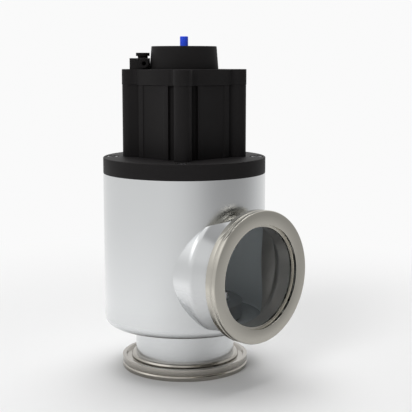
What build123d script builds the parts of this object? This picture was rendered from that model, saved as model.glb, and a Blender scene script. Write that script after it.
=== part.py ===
from build123d import *
from math import atan2, cos, radians, sin, sqrt, tan
import os

# Right-angle vacuum valve with a bellows-sealed stem and a sprung air cylinder.
# Millimetres. The origin is the centre of the lower port's sealing face, +Z is up the
# body's axis, and +X is the side port's axis.

# Ports: two equal clamp flanges on thin tube
FLANGE_R = 65.0
FLANGE_LAND = 16.2             # from the port's bore to the flange's rim
FLANGE_T = 12.0
FLANGE_EDGE = 0.8
FACE_PAST_BODY = 25.5          # the side port's face beyond the body's radius
TUBE_WALL = 2.0
RECESS_STEP = 2.2              # the centring ring's seat, outside the bore
RECESS_DEPTH = 4.5
SOCKET_DEPTH = 5.0             # how far the tube enters the flange's back
RIM_GROOVE_FROM_FACE = 5.1
RIM_GROOVE_WIDTH = 2.6
RIM_GROOVE_DEPTH = 1.3
CLAW_GROOVE_FROM_RIM = 3.8
CLAW_GROOVE_WIDTH = 5.8
CLAW_GROOVE_DEPTH = 2.6
HUB_RISE = 2.2                 # how far the welded collar stands above the flange's back

# Body
BODY_R = 82.5
BODY_WALL = 2.0
FLOOR_Z = 50.0                 # inner face of the floor
FLOOR_T = 3.0
BODY_TOP_Z = 202.0
BODY_CORNER_R = 8.0
SEAT_WIDTH = 8.2
SEAT_H = 2.3

# Side outlet: a short wide stub that necks down to the port's tube
STUB_STEP = 13.6               # the stub's radius over the tube's
STUB_INSIDE = 10.0             # where the stub starts to narrow, inside the body's radius
NECK_L = 22.0                  # from the sealing face to the cone's small end
SIDE_TUBE_L = 18.0             # plain tube from the sealing face to its weld on the outlet
SHOULDER_R = 9.0
NECK_CURVE_R = 7.0

# Bonnet
RING_WIDTH = 19.0
RING_H = 14.0
BONNET_T = 15.8
BONNET_EDGE = 1.0
SPIGOT_H = 4.0
SPIGOT_CLEARANCE = 0.2
BONNET_SEAL_FROM_BORE = 3.9    # the seal's mean radius over the ring's bore
BONNET_SEAL_W = 3.4
BONNET_SEAL_H = 2.3
BONNET_BOLT_COUNT = 4
BONNET_BOLT_FROM_EDGE = 9.0
BONNET_BOLT_R = 4.0
BONNET_BOLT_HEAD_R = 6.5
BONNET_BOLT_HEAD_H = 8.0
BONNET_BOLT_GRIP = 7.3         # bonnet left under the head
BONNET_BOLT_L = 16.0
BONNET_BOLT_SOCKET_R = 3.4
HOLE_CLEARANCE = 0.5           # a through hole's radius over its screw
HEAD_CLEARANCE = 0.5           # a counterbore's radius over its screw head
THREAD_GAP = 0.05              # a tapped hole's radius over its screw, as modelled
TAP_RUNOUT = 2.0

# Air cylinder: a square barrel with a round post at each corner
POST_CIRCLE_R = 54.0
BARREL_WALL = 5.8              # from the bore to a flat side
BARREL_H = 72.3
POST_R = 8.6
FLAT_INSIDE = 11.7             # the flat sides inside the posts' circle
FLUTE_W = 5.8                  # flute between each post and the end of a flat
GROOVE_DEPTH = 3.6             # flute's depth under the end of the flat
PANEL_MARGIN = 7.1             # land beside the sunk panel in each flat
PANEL_DEPTH = 0.8
CAP_T = 15.7
CAP_OVER = 0.25                # the cap's outline over the barrel's
CAP_SOFTEN_R = 5.0
CAP_EDGE = 0.6
CAP_SPIGOT_H = 4.0
CAP_SPIGOT_CLEARANCE = 0.1
TIE_BOLT_R = 3.0
TIE_BOLT_HEAD_R = 5.0
TIE_BOLT_HEAD_H = 6.0
TIE_BOLT_SINK = 7.0            # depth of the cap's counterbores
TIE_BOLT_BITE = 9.0            # how far a bolt enters the bonnet
END_SEAL_W = 2.4
END_SEAL_H = 1.8
SEAL_WALL = 1.2                # barrel left inside the end seals

# Spring housing
DOME_H = 22.7
DOME_INSIDE = 2.7              # the housing's base inside the cylinder's bore
DOME_TAPER = 0.7
DOME_WALL = 4.3
DOME_ROOF_T = 3.5
DOME_LIP = 1.1
DOME_LIP_H = 3.4
DOME_THREAD_L = 10.0
DOME_THREAD_WALL = 1.6
DOME_EDGE = 0.6
INDICATOR_BUSH_R = 6.0
INDICATOR_BUSH_L = 7.0

# Moving group
RUNNING_CLEARANCE = 0.03
STEM_R = 10.0
STEM_FOOT_R = 8.0
STEM_FOOT_L = 6.0
STEM_TOP_R = 6.0
STEM_TOP_L = 27.0
BUSH_R = 14.0
BUSH_L = 10.0
ROD_SEAL_R = 15.0
ROD_SEAL_H = 4.0
ROD_SEAL_COVER = 1.5           # bonnet left above the rod seal
STEM_HOLE_R = 11.0
PLATE_OVER = 3.0               # the plate's radius over the seat's
PLATE_T = 15.0
PLATE_EDGE = 1.0
PLATE_DISH_FROM_SEAL = 9.0
PLATE_DISH_DEPTH = 4.0
PLATE_SEAL_FROM_BORE = 4.2     # the seal's mean radius over the port's bore
PLATE_SEAL_W = 4.0
PLATE_SEAL_H = 3.4
PLATE_SEAL_STAND = 1.0         # seal proud of the plate
SEAL_TO_SEAT = 0.2
FOOT_RIM = 9.0                 # the foot's radius over the bellows'
FOOT_T = 8.0
FOOT_FLANGE_T = 4.0
FOOT_SCREW_COUNT = 4
FOOT_SCREW_OVER = 5.2          # the screw circle over the bellows
FOOT_SCREW_R = 2.0
FOOT_SCREW_HEAD_R = 3.5
FOOT_SCREW_HEAD_H = 4.0
FOOT_SCREW_L = 10.0
FOOT_SCREW_SOCKET_R = 1.7
PISTON_GAP = 3.5               # air space under the piston
PISTON_H = 16.0
PISTON_CLEARANCE = 0.2
PISTON_SEAL_W = 4.0
PISTON_SEAL_H = 3.2
GUIDE_RING_W = 5.0
GUIDE_RING_H = 1.6
SEAL_CLEARANCE = 0.05
PISTON_RECESS_R = 13.0
PISTON_RECESS_DEPTH = 4.0
NUT_ACROSS = 19.0
NUT_H = 10.0
PIN_R = 4.1
PIN_THREAD_R = 2.5
PIN_THREAD_L = 8.0
PIN_SHOWS = 9.8                # indicator above its housing with the valve shut
PIN_EDGE = 0.8
STROKE = 28.0

# Bellows and closing spring
TOP_RING_FROM_BORE = 7.5       # room round the bellows' upper ring
TOP_RING_T = 7.0
TOP_RING_FLANGE_T = 4.0
TOP_RING_SCREW_FROM_EDGE = 5.5
TOP_RING_SEAL_FROM_EDGE = 13.0
TOP_RING_RIM = 17.0            # the upper ring's radius over the bellows'
BELLOWS_FOLD = 9.0
BELLOWS_WALL = 0.8
BELLOWS_COUNT = 12
SPRING_WIRE_R = 2.5
SPRING_SIDE_GAP = 1.0          # between the spring and its housing
SPRING_TURNS = 6
SPRING_WIRE_SIDES = 6
SPRING_SEAT_GAP = 0.1

# Air port block, over the post opposite the side port
BLOCK_L = 20.0
BLOCK_PAST_POST = 1.0          # how far the block passes the post's centre
BLOCK_HALF_W = 8.5
BLOCK_H = 10.9
BLOCK_EDGE = 0.8
PASSAGE_R = 2.0
PASSAGE_FROM_POST = 11.5       # distances from the post's centre towards the axis
PASSAGE_SIDE = 3.5
PASSAGE_SEAL_R = 3.0
PASSAGE_SEAL_W = 1.0
PASSAGE_SEAL_H = 0.7
CROSS_HOLE_R = 1.5
CROSS_HOLE_RISE = 1.8          # the cross hole's centre above the bonnet
FITTING_FROM_POST = 14.8
FITTING_RISE = 5.7
FITTING_R = 5.4
FITTING_L = 8.0
FITTING_THREAD_R = 2.6
FITTING_THREAD_L = 4.0
COLLAR_R = 3.6
COLLAR_HEAD_R = 4.4
COLLAR_BORE_R = 2.05
COLLAR_SHOWS = 1.6
COLLAR_TRAVEL = 1.0
COLLAR_DEEP = 5.0
VENT_FROM_POST = 11.8
VENT_SIDE = -4.5
VENT_STEM_R = 4.6
VENT_STEM_H = 3.2
VENT_CAP_R = 6.35
VENT_CAP_H = 3.0
VENT_THREAD_R = 2.4
VENT_THREAD_L = 3.5
VENT_HOLE_R = 1.2
VENT_EXIT_FROM_POST = 16.8
VENT_CHANNEL_DEPTH = 2.0
VENT_CROSS_RISE = 2.5          # the vent's cross hole above the barrel
BLOCK_SCREW_FROM_POST = 7.5
BLOCK_SCREW_SIDE = 6.2
BLOCK_SCREW_R = 1.25
BLOCK_SCREW_HEAD_R = 2.2
BLOCK_SCREW_HEAD_H = 2.0
BLOCK_SCREW_BITE = 6.0

# Places worked out from the sizes
PORT_BORE_R = FLANGE_R - FLANGE_LAND
TUBE_R = PORT_BORE_R + TUBE_WALL
RECESS_R = PORT_BORE_R + RECESS_STEP
CLAW_GROOVE_OUT_R = FLANGE_R - CLAW_GROOVE_FROM_RIM
CLAW_GROOVE_IN_R = CLAW_GROOVE_OUT_R - CLAW_GROOVE_WIDTH
FACE_TO_AXIS = BODY_R + FACE_PAST_BODY     # the same for both ports
AXIS_Z = FACE_TO_AXIS
TUBE_END = FLANGE_T - SOCKET_DEPTH
BODY_IN_R = BODY_R - BODY_WALL
STUB_R = TUBE_R + STUB_STEP
STUB_END_X = BODY_R - STUB_INSIDE
SEAT_R = PORT_BORE_R + SEAT_WIDTH
PLATE_R = SEAT_R + PLATE_OVER
PLATE_SEAL_R = PORT_BORE_R + PLATE_SEAL_FROM_BORE
PLATE_DISH_R = PLATE_SEAL_R - PLATE_DISH_FROM_SEAL
RING_BORE_R = BODY_IN_R - RING_WIDTH
BONNET_SEAL_R = RING_BORE_R + BONNET_SEAL_FROM_BORE
BONNET_BOLT_CIRCLE_R = BODY_R - BONNET_BOLT_FROM_EDGE
TOP_RING_R = RING_BORE_R - TOP_RING_FROM_BORE
TOP_RING_SCREW_CIRCLE_R = TOP_RING_R - TOP_RING_SCREW_FROM_EDGE
TOP_RING_SEAL_R = TOP_RING_R - TOP_RING_SEAL_FROM_EDGE
BELLOWS_R = TOP_RING_R - TOP_RING_RIM
BELLOWS_IN_R = BELLOWS_R - BELLOWS_FOLD
FOOT_R = BELLOWS_R + FOOT_RIM
FOOT_SCREW_CIRCLE_R = BELLOWS_R + FOOT_SCREW_OVER
SEAT_Z = FLOOR_Z + SEAT_H
BONNET_TOP_Z = BODY_TOP_Z + BONNET_T
BONNET_LOW_Z = BODY_TOP_Z - SPIGOT_H
BARREL_TOP_Z = BONNET_TOP_Z + BARREL_H
CAP_TOP_Z = BARREL_TOP_Z + CAP_T
DOME_TOP_Z = CAP_TOP_Z + DOME_H
DOME_ROOF_Z = DOME_TOP_Z - DOME_ROOF_T
BARREL_FLAT = POST_CIRCLE_R - FLAT_INSIDE
BARREL_FLAT_HALF = BARREL_FLAT - sqrt(2) * (POST_R + FLUTE_W)
PANEL_HALF = BARREL_FLAT_HALF - PANEL_MARGIN
CYL_BORE_R = BARREL_FLAT - BARREL_WALL
DOME_BASE_R = CYL_BORE_R - DOME_INSIDE
DOME_TOP_R = DOME_BASE_R - DOME_TAPER
DOME_LIP_R = DOME_BASE_R + DOME_LIP
DOME_BORE_R = DOME_BASE_R - DOME_WALL
SPRING_MEAN_R = DOME_BORE_R - SPRING_SIDE_GAP - SPRING_WIRE_R
PLATE_Z = SEAT_Z + SEAL_TO_SEAT + PLATE_SEAL_STAND
PLATE_TOP_Z = PLATE_Z + PLATE_T
FOOT_TOP_Z = PLATE_TOP_Z + FOOT_T
TOP_RING_Z = BONNET_LOW_Z - TOP_RING_T
PISTON_Z = BONNET_TOP_Z + PISTON_GAP
PISTON_TOP_Z = PISTON_Z + PISTON_H
NUT_Z = PISTON_TOP_Z - PISTON_RECESS_DEPTH
STEM_TOP_Z = PISTON_Z + STEM_TOP_L
PIN_TOP_Z = DOME_TOP_Z + PIN_SHOWS
END_SEAL_R = CYL_BORE_R + SEAL_WALL + END_SEAL_W / 2
POST_ANGLES = [45, 135, 225, 315]
BLOCK_ANGLE = 225
BLOCK_TOP_Z = CAP_TOP_Z + BLOCK_H
BLOCK_OUT = POST_CIRCLE_R + BLOCK_PAST_POST
BLOCK_IN = BLOCK_OUT - BLOCK_L
PASSAGE_OUT = POST_CIRCLE_R - PASSAGE_FROM_POST
FITTING_OUT = POST_CIRCLE_R - FITTING_FROM_POST
VENT_OUT = POST_CIRCLE_R - VENT_FROM_POST
VENT_EXIT_OUT = POST_CIRCLE_R - VENT_EXIT_FROM_POST
BLOCK_SCREW_OUT = POST_CIRCLE_R - BLOCK_SCREW_FROM_POST


def turned(points):
    """Solid turned about Z from a closed outline of (radius, height) points."""
    return revolve(Plane.XZ * make_face(Polyline(*points, close=True)), Axis.Z)


def ring(r_in, r_out, z_low, z_high):
    """Plain ring about Z."""
    return Pos(0, 0, z_low) * extrude(Circle(r_out) - Circle(r_in), z_high - z_low)


def disc(radius, z_low, z_high):
    """Plain round disc or hole cutter about Z."""
    return Pos(0, 0, z_low) * extrude(Circle(radius), z_high - z_low)


def soft_seal(mean_r, width, height, z_low):
    """Seal ring about Z, squeezed to its groove, with eased edges on one side."""
    ease = min(width, height) / 4
    low = z_low
    top = z_low + height
    inner = mean_r - width / 2
    outer = mean_r + width / 2
    return turned([
        (inner, low), (outer, low), (outer, top - ease), (outer - ease, top),
        (inner + ease, top), (inner, top - ease),
    ])


def around(shape, count, start=0):
    """Copies of one shape, evenly turned about Z."""
    step = 360 / count
    return [Rot(0, 0, start + step * i) * shape for i in range(count)]


def cap_screw(radius, length, head_r, head_h, socket_r):
    """Socket-head screw along -Z with its head's seat at z = 0."""
    head = chamfer(disc(head_r, 0, head_h).edges().group_by(Axis.Z)[-1], 0.1 * head_r)
    socket_size = 2 * socket_r / sqrt(3)
    socket = Pos(0, 0, 0.4 * head_h) * extrude(RegularPolygon(socket_size, 6), head_h)
    shank = disc(radius, -length, 0)
    return head - socket + shank


def along_side(shape):
    """Turns a shape made about Z with its port face at z = 0 to the side port."""
    return Pos(FACE_TO_AXIS, 0, AXIS_Z) * Rot(0, -90, 0) * shape


def at_block(out, side, z):
    """Place on the cap, measured out along the block's post and sideways to its front."""
    out_x = cos(radians(BLOCK_ANGLE))
    out_y = sin(radians(BLOCK_ANGLE))
    return Pos(out * out_x - side * out_y, out * out_y + side * out_x, z) * Rot(0, 0, BLOCK_ANGLE)


# Ports and body

def flange():
    """Clamp flange about Z with its sealing face at z = 0."""
    groove_low = RIM_GROOVE_FROM_FACE - RIM_GROOVE_WIDTH / 2
    groove_high = RIM_GROOVE_FROM_FACE + RIM_GROOVE_WIDTH / 2
    claw_floor = FLANGE_T - CLAW_GROOVE_DEPTH
    hub_top = FLANGE_T + HUB_RISE
    body = turned([
        (PORT_BORE_R, RECESS_DEPTH),
        (RECESS_R, RECESS_DEPTH),
        (RECESS_R, 0),
        (FLANGE_R - FLANGE_EDGE, 0),
        (FLANGE_R, FLANGE_EDGE),
        (FLANGE_R, groove_low),
        (FLANGE_R - RIM_GROOVE_DEPTH, RIM_GROOVE_FROM_FACE),
        (FLANGE_R, groove_high),
        (FLANGE_R, FLANGE_T - FLANGE_EDGE / 2),
        (FLANGE_R - FLANGE_EDGE / 2, FLANGE_T),
        (CLAW_GROOVE_OUT_R, FLANGE_T),
        (CLAW_GROOVE_OUT_R - CLAW_GROOVE_DEPTH / 2, claw_floor),
        (CLAW_GROOVE_IN_R, claw_floor),
        (CLAW_GROOVE_IN_R, FLANGE_T),
        (CLAW_GROOVE_IN_R - HUB_RISE / 2, hub_top - HUB_RISE / 4),
        (TUBE_R + HUB_RISE, hub_top),
        (TUBE_R, hub_top),
        (TUBE_R, TUBE_END),
        (PORT_BORE_R, TUBE_END),
    ])
    return body


def body_shell():
    """Drawn body with a rounded bottom corner, open at the top and at both ports."""
    low = FLOOR_Z - FLOOR_T
    outline = make_face(Polyline(
        (TUBE_R, low), (BODY_R, low), (BODY_R, BODY_TOP_Z), (BODY_IN_R, BODY_TOP_Z),
        (BODY_IN_R, FLOOR_Z), (TUBE_R, FLOOR_Z), close=True))
    outer = outline.vertices().sort_by_distance((BODY_R, low))[0]
    outline = fillet(outer, BODY_CORNER_R)
    inner = outline.vertices().sort_by_distance((BODY_IN_R, FLOOR_Z))[0]
    outline = fillet(inner, BODY_CORNER_R - BODY_WALL)
    return revolve(Plane.XZ * outline, Axis.Z) - outlet_form(0)


def outlet_form(inset):
    """Outside of the side outlet, or its inside with an inset, as a solid beyond the body."""
    slope = atan2(STUB_STEP, FACE_TO_AXIS - STUB_END_X - NECK_L)
    shift = inset * tan(slope / 2)
    low = SIDE_TUBE_L - inset
    top = FACE_TO_AXIS + inset
    neck_h = NECK_L + shift
    stub_h = FACE_TO_AXIS - STUB_END_X + shift
    outline = make_face(Polyline(
        (0, low), (TUBE_R - inset, low), (TUBE_R - inset, neck_h),
        (STUB_R - inset, stub_h), (STUB_R - inset, top), (0, top), close=True))
    shoulder = outline.vertices().sort_by_distance((STUB_R - inset, stub_h))[0]
    outline = fillet(shoulder, SHOULDER_R - inset)
    neck = outline.vertices().sort_by_distance((TUBE_R - inset, neck_h))[0]
    outline = fillet(neck, NECK_CURVE_R + inset)
    solid = along_side(revolve(Plane.XZ * outline, Axis.Z))
    return solid - disc(BODY_IN_R, 0, BODY_TOP_Z)


def side_outlet():
    """Stub that necks down from the body to the side tube, trimmed flush inside the body."""
    return outlet_form(0) - outlet_form(TUBE_WALL)


def side_neck():
    """Tube between the outlet and the side flange."""
    return along_side(ring(PORT_BORE_R, TUBE_R, TUBE_END, SIDE_TUBE_L))


def lower_neck():
    """Tube between the lower flange and the floor."""
    return ring(PORT_BORE_R, TUBE_R, TUBE_END, FLOOR_Z)


def seat_ring():
    """Turned seat welded on the floor round the lower port."""
    edge = SEAT_H / 3
    return turned([
        (PORT_BORE_R, FLOOR_Z), (SEAT_R, FLOOR_Z), (SEAT_R, SEAT_Z - edge),
        (SEAT_R - edge, SEAT_Z), (PORT_BORE_R + edge, SEAT_Z), (PORT_BORE_R, SEAT_Z - edge),
    ])


# Bonnet

def bonnet_bolt_places():
    """Bolt places on the bonnet, in line with the cylinder's posts."""
    return [Rot(0, 0, angle) * Pos(BONNET_BOLT_CIRCLE_R, 0, 0) for angle in POST_ANGLES]


def bonnet_ring():
    """Ring welded inside the body's top, grooved for its seal and tapped for the bolts."""
    body = ring(RING_BORE_R, BODY_IN_R, BODY_TOP_Z - RING_H, BODY_TOP_Z)
    groove_in = BONNET_SEAL_R - BONNET_SEAL_W / 2
    groove_out = BONNET_SEAL_R + BONNET_SEAL_W / 2
    body -= ring(groove_in, groove_out, BODY_TOP_Z - BONNET_SEAL_H, BODY_TOP_Z)
    depth = BONNET_BOLT_L - BONNET_BOLT_GRIP + TAP_RUNOUT
    tapped = disc(BONNET_BOLT_R + THREAD_GAP, BODY_TOP_Z - depth, BODY_TOP_Z)
    for place in bonnet_bolt_places():
        body -= place * tapped
    return body


def bonnet_seal():
    """Seal in the ring's groove."""
    return soft_seal(BONNET_SEAL_R, BONNET_SEAL_W, BONNET_SEAL_H, BODY_TOP_Z - BONNET_SEAL_H)


def bonnet_plate():
    """Thick round bonnet that closes the body and carries the cylinder."""
    spigot_r = RING_BORE_R - SPIGOT_CLEARANCE
    body = turned([
        (0, BONNET_LOW_Z), (spigot_r, BONNET_LOW_Z), (spigot_r, BODY_TOP_Z),
        (BODY_R - BONNET_EDGE / 2, BODY_TOP_Z), (BODY_R, BODY_TOP_Z + BONNET_EDGE / 2),
        (BODY_R, BONNET_TOP_Z - BONNET_EDGE), (BODY_R - BONNET_EDGE, BONNET_TOP_Z),
        (0, BONNET_TOP_Z),
    ])
    through = disc(BONNET_BOLT_R + HOLE_CLEARANCE, BONNET_LOW_Z, BONNET_TOP_Z)
    sunk = disc(BONNET_BOLT_HEAD_R + HEAD_CLEARANCE, BODY_TOP_Z + BONNET_BOLT_GRIP, BONNET_TOP_Z)
    for place in bonnet_bolt_places():
        body -= place * (through + sunk)
    tapped = disc(TIE_BOLT_R + THREAD_GAP, BONNET_TOP_Z - TIE_BOLT_BITE - TAP_RUNOUT, BONNET_TOP_Z)
    for place in tie_bolt_places():
        body -= place * tapped
    seal_top = BONNET_TOP_Z - ROD_SEAL_COVER
    body -= disc(STEM_HOLE_R, BONNET_LOW_Z, BONNET_TOP_Z)
    body -= disc(BUSH_R, BONNET_LOW_Z, BONNET_LOW_Z + BUSH_L)
    body -= disc(ROD_SEAL_R, seal_top - ROD_SEAL_H, seal_top)
    low_tap = disc(FOOT_SCREW_R + THREAD_GAP, BONNET_LOW_Z, BONNET_LOW_Z + ring_screw_bite() + TAP_RUNOUT)
    for place in ring_screw_places():
        body -= place * low_tap
    return body


def bonnet_bolts():
    """Bolts sunk in the bonnet's counterbores."""
    seat = Pos(0, 0, BODY_TOP_Z + BONNET_BOLT_GRIP)
    bolt = cap_screw(BONNET_BOLT_R, BONNET_BOLT_L, BONNET_BOLT_HEAD_R, BONNET_BOLT_HEAD_H,
                     BONNET_BOLT_SOCKET_R)
    return [place * seat * bolt for place in bonnet_bolt_places()]


def guide_bush():
    """Plain bush that guides the stem."""
    return ring(STEM_R + RUNNING_CLEARANCE, BUSH_R, BONNET_LOW_Z, BONNET_LOW_Z + BUSH_L)


def rod_seal():
    """Lip seal round the stem, with its cup towards the cylinder."""
    top = BONNET_TOP_Z - ROD_SEAL_COVER
    low = top - ROD_SEAL_H
    inner = STEM_R + SEAL_CLEARANCE
    lip = (ROD_SEAL_R - inner) / 3
    return turned([
        (inner, low), (ROD_SEAL_R, low), (ROD_SEAL_R, top), (ROD_SEAL_R - lip, top),
        (ROD_SEAL_R - 1.5 * lip, low + ROD_SEAL_H / 2), (inner + lip, top), (inner, top),
    ])


# Bellows, with the rings at its two ends

def ring_screw_bite():
    """How far the upper ring's screws enter the bonnet."""
    return FOOT_SCREW_L - TOP_RING_FLANGE_T


def ring_screw_places():
    """Screw places on the bellows' upper ring."""
    return [Rot(0, 0, 90 * i) * Pos(TOP_RING_SCREW_CIRCLE_R, 0, 0) for i in range(FOOT_SCREW_COUNT)]


def bellows_top_ring():
    """Upper end of the bellows, screwed and sealed under the bonnet."""
    flange_low = BONNET_LOW_Z - TOP_RING_FLANGE_T
    body = ring(BELLOWS_IN_R, TOP_RING_R, flange_low, BONNET_LOW_Z)
    body += ring(BELLOWS_IN_R, BELLOWS_R, TOP_RING_Z, flange_low)
    groove_in = TOP_RING_SEAL_R - END_SEAL_W / 2
    groove_out = TOP_RING_SEAL_R + END_SEAL_W / 2
    body -= ring(groove_in, groove_out, BONNET_LOW_Z - END_SEAL_H, BONNET_LOW_Z)
    for place in ring_screw_places():
        body -= place * disc(FOOT_SCREW_R + HOLE_CLEARANCE / 2, flange_low, BONNET_LOW_Z)
    return body


def bellows_top_seal():
    """Seal between the bellows' upper ring and the bonnet."""
    return soft_seal(TOP_RING_SEAL_R, END_SEAL_W, END_SEAL_H, BONNET_LOW_Z - END_SEAL_H)


def small_screw():
    """Screw that holds either end of the bellows, along -Z."""
    return cap_screw(FOOT_SCREW_R, FOOT_SCREW_L, FOOT_SCREW_HEAD_R, FOOT_SCREW_HEAD_H,
                     FOOT_SCREW_SOCKET_R)


def bellows_top_screws():
    """Screws that hold the bellows' upper ring, driven from below."""
    seat = Pos(0, 0, BONNET_LOW_Z - TOP_RING_FLANGE_T) * Rot(180, 0, 0)
    return [place * seat * small_screw() for place in ring_screw_places()]


def bellows():
    """Thin folded tube between the two rings, with sharp welded edges."""
    pitch = (TOP_RING_Z - FOOT_TOP_Z) / BELLOWS_COUNT
    outside = []
    inside = []
    for i in range(BELLOWS_COUNT):
        z = FOOT_TOP_Z + pitch * i
        outside += [(BELLOWS_IN_R + BELLOWS_WALL, z), (BELLOWS_R, z + pitch / 2)]
        inside += [(BELLOWS_IN_R, z), (BELLOWS_R - BELLOWS_WALL, z + pitch / 2)]
    outside.append((BELLOWS_IN_R + BELLOWS_WALL, TOP_RING_Z))
    inside.append((BELLOWS_IN_R, TOP_RING_Z))
    return turned(outside + inside[::-1])


def bellows_foot():
    """Lower end of the bellows, screwed to the valve plate and threaded for the stem."""
    body = disc(FOOT_R, PLATE_TOP_Z, PLATE_TOP_Z + FOOT_FLANGE_T)
    body += disc(BELLOWS_R, PLATE_TOP_Z + FOOT_FLANGE_T, FOOT_TOP_Z)
    body -= disc(STEM_FOOT_R, FOOT_TOP_Z - STEM_FOOT_L, FOOT_TOP_Z)
    hole = disc(FOOT_SCREW_R + HOLE_CLEARANCE / 2, PLATE_TOP_Z, PLATE_TOP_Z + FOOT_FLANGE_T)
    for copy in around(Pos(FOOT_SCREW_CIRCLE_R, 0, 0) * hole, FOOT_SCREW_COUNT, 45):
        body -= copy
    return body


# Valve plate and stem

def valve_plate():
    """Plate that shuts the lower port, dished below and grooved for its seal."""
    half = PLATE_SEAL_W / 2
    groove_top = PLATE_Z + PLATE_SEAL_H - PLATE_SEAL_STAND
    undercut = 0.15 * PLATE_SEAL_W
    body = turned([
        (0, PLATE_Z + PLATE_DISH_DEPTH),
        (PLATE_DISH_R - PLATE_DISH_DEPTH, PLATE_Z + PLATE_DISH_DEPTH),
        (PLATE_DISH_R, PLATE_Z),
        (PLATE_SEAL_R - half, PLATE_Z), (PLATE_SEAL_R - half - undercut, groove_top),
        (PLATE_SEAL_R + half + undercut, groove_top), (PLATE_SEAL_R + half, PLATE_Z),
        (PLATE_R - PLATE_EDGE, PLATE_Z), (PLATE_R, PLATE_Z + PLATE_EDGE),
        (PLATE_R, PLATE_TOP_Z - PLATE_EDGE), (PLATE_R - PLATE_EDGE, PLATE_TOP_Z),
        (0, PLATE_TOP_Z),
    ])
    bite = FOOT_SCREW_L - FOOT_FLANGE_T + TAP_RUNOUT
    tapped = disc(FOOT_SCREW_R + THREAD_GAP, PLATE_TOP_Z - bite, PLATE_TOP_Z)
    for copy in around(Pos(FOOT_SCREW_CIRCLE_R, 0, 0) * tapped, FOOT_SCREW_COUNT, 45):
        body -= copy
    return body


def plate_seal():
    """Seal in the plate's groove, just clear of the seat."""
    return soft_seal(PLATE_SEAL_R, PLATE_SEAL_W, PLATE_SEAL_H, PLATE_Z - PLATE_SEAL_STAND)


def plate_screws():
    """Screws through the bellows' foot into the valve plate."""
    seat = Pos(FOOT_SCREW_CIRCLE_R, 0, PLATE_TOP_Z + FOOT_FLANGE_T)
    return around(seat * small_screw(), FOOT_SCREW_COUNT, 45)


def stem():
    """Ground stem from the bellows' foot to the piston."""
    low = FOOT_TOP_Z - STEM_FOOT_L
    thread_low = STEM_TOP_Z - PIN_THREAD_L - TAP_RUNOUT
    return turned([
        (0, low), (STEM_FOOT_R, low), (STEM_FOOT_R, FOOT_TOP_Z), (STEM_R, FOOT_TOP_Z),
        (STEM_R, PISTON_Z), (STEM_TOP_R, PISTON_Z), (STEM_TOP_R, STEM_TOP_Z),
        (PIN_THREAD_R + THREAD_GAP, STEM_TOP_Z), (PIN_THREAD_R + THREAD_GAP, thread_low),
        (0, thread_low),
    ])


# Piston

def piston():
    """Piston with a seal groove, a guide-ring groove and a recess for its nut."""
    rim = CYL_BORE_R - PISTON_CLEARANCE
    gap = (PISTON_H - PISTON_SEAL_W - GUIDE_RING_W) / 3
    seal_low = PISTON_Z + gap
    guide_low = seal_low + PISTON_SEAL_W + gap
    body = ring(STEM_TOP_R, rim, PISTON_Z, PISTON_TOP_Z)
    body -= ring(rim - PISTON_SEAL_H, rim, seal_low, seal_low + PISTON_SEAL_W)
    body -= ring(rim - GUIDE_RING_H, rim, guide_low, guide_low + GUIDE_RING_W)
    body -= disc(PISTON_RECESS_R, NUT_Z, PISTON_TOP_Z)
    return body


def piston_seal():
    """Seal in the piston's lower groove."""
    gap = (PISTON_H - PISTON_SEAL_W - GUIDE_RING_W) / 3
    inner = CYL_BORE_R - PISTON_CLEARANCE - PISTON_SEAL_H
    outer = CYL_BORE_R - SEAL_CLEARANCE
    mean = (inner + outer) / 2
    return soft_seal(mean, outer - inner, PISTON_SEAL_W, PISTON_Z + gap)


def piston_guide_ring():
    """Bearing band in the piston's upper groove."""
    gap = (PISTON_H - PISTON_SEAL_W - GUIDE_RING_W) / 3
    low = PISTON_Z + 2 * gap + PISTON_SEAL_W
    inner = CYL_BORE_R - PISTON_CLEARANCE - GUIDE_RING_H
    return ring(inner, CYL_BORE_R - SEAL_CLEARANCE, low, low + GUIDE_RING_W)


def piston_nut():
    """Nut that clamps the piston on the stem's shoulder."""
    hexagon = RegularPolygon(NUT_ACROSS / 2, 6, major_radius=False)
    return Pos(0, 0, NUT_Z) * extrude(hexagon - Circle(STEM_TOP_R + THREAD_GAP), NUT_H)


def indicator_pin():
    """Pin from the stem's end to the outside, which shows where the plate is."""
    pin = chamfer(disc(PIN_R, STEM_TOP_Z, PIN_TOP_Z).edges().group_by(Axis.Z)[-1], PIN_EDGE)
    return pin + disc(PIN_THREAD_R, STEM_TOP_Z - PIN_THREAD_L, STEM_TOP_Z)


# Air cylinder

def tie_bolt_places():
    """Bolt places at the middle of the four posts."""
    return [Rot(0, 0, angle) * Pos(POST_CIRCLE_R, 0, 0) for angle in POST_ANGLES]


def posts(over):
    """Section of the four corner posts with the webs that join them to the barrel."""
    web = Pos(POST_CIRCLE_R / 2, 0) * Rectangle(POST_CIRCLE_R, 2 * (POST_R + over))
    post = Pos(POST_CIRCLE_R, 0) * Circle(POST_R + over) + web
    return [Rot(0, 0, angle) * post for angle in POST_ANGLES]


def barrel_core(over):
    """Section of the barrel without its posts: four flats with rounded corners."""
    flat = BARREL_FLAT + over
    corner_r = sqrt(flat**2 + BARREL_FLAT_HALF**2)
    return Rectangle(2 * flat, 2 * flat) & Circle(corner_r)


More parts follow.
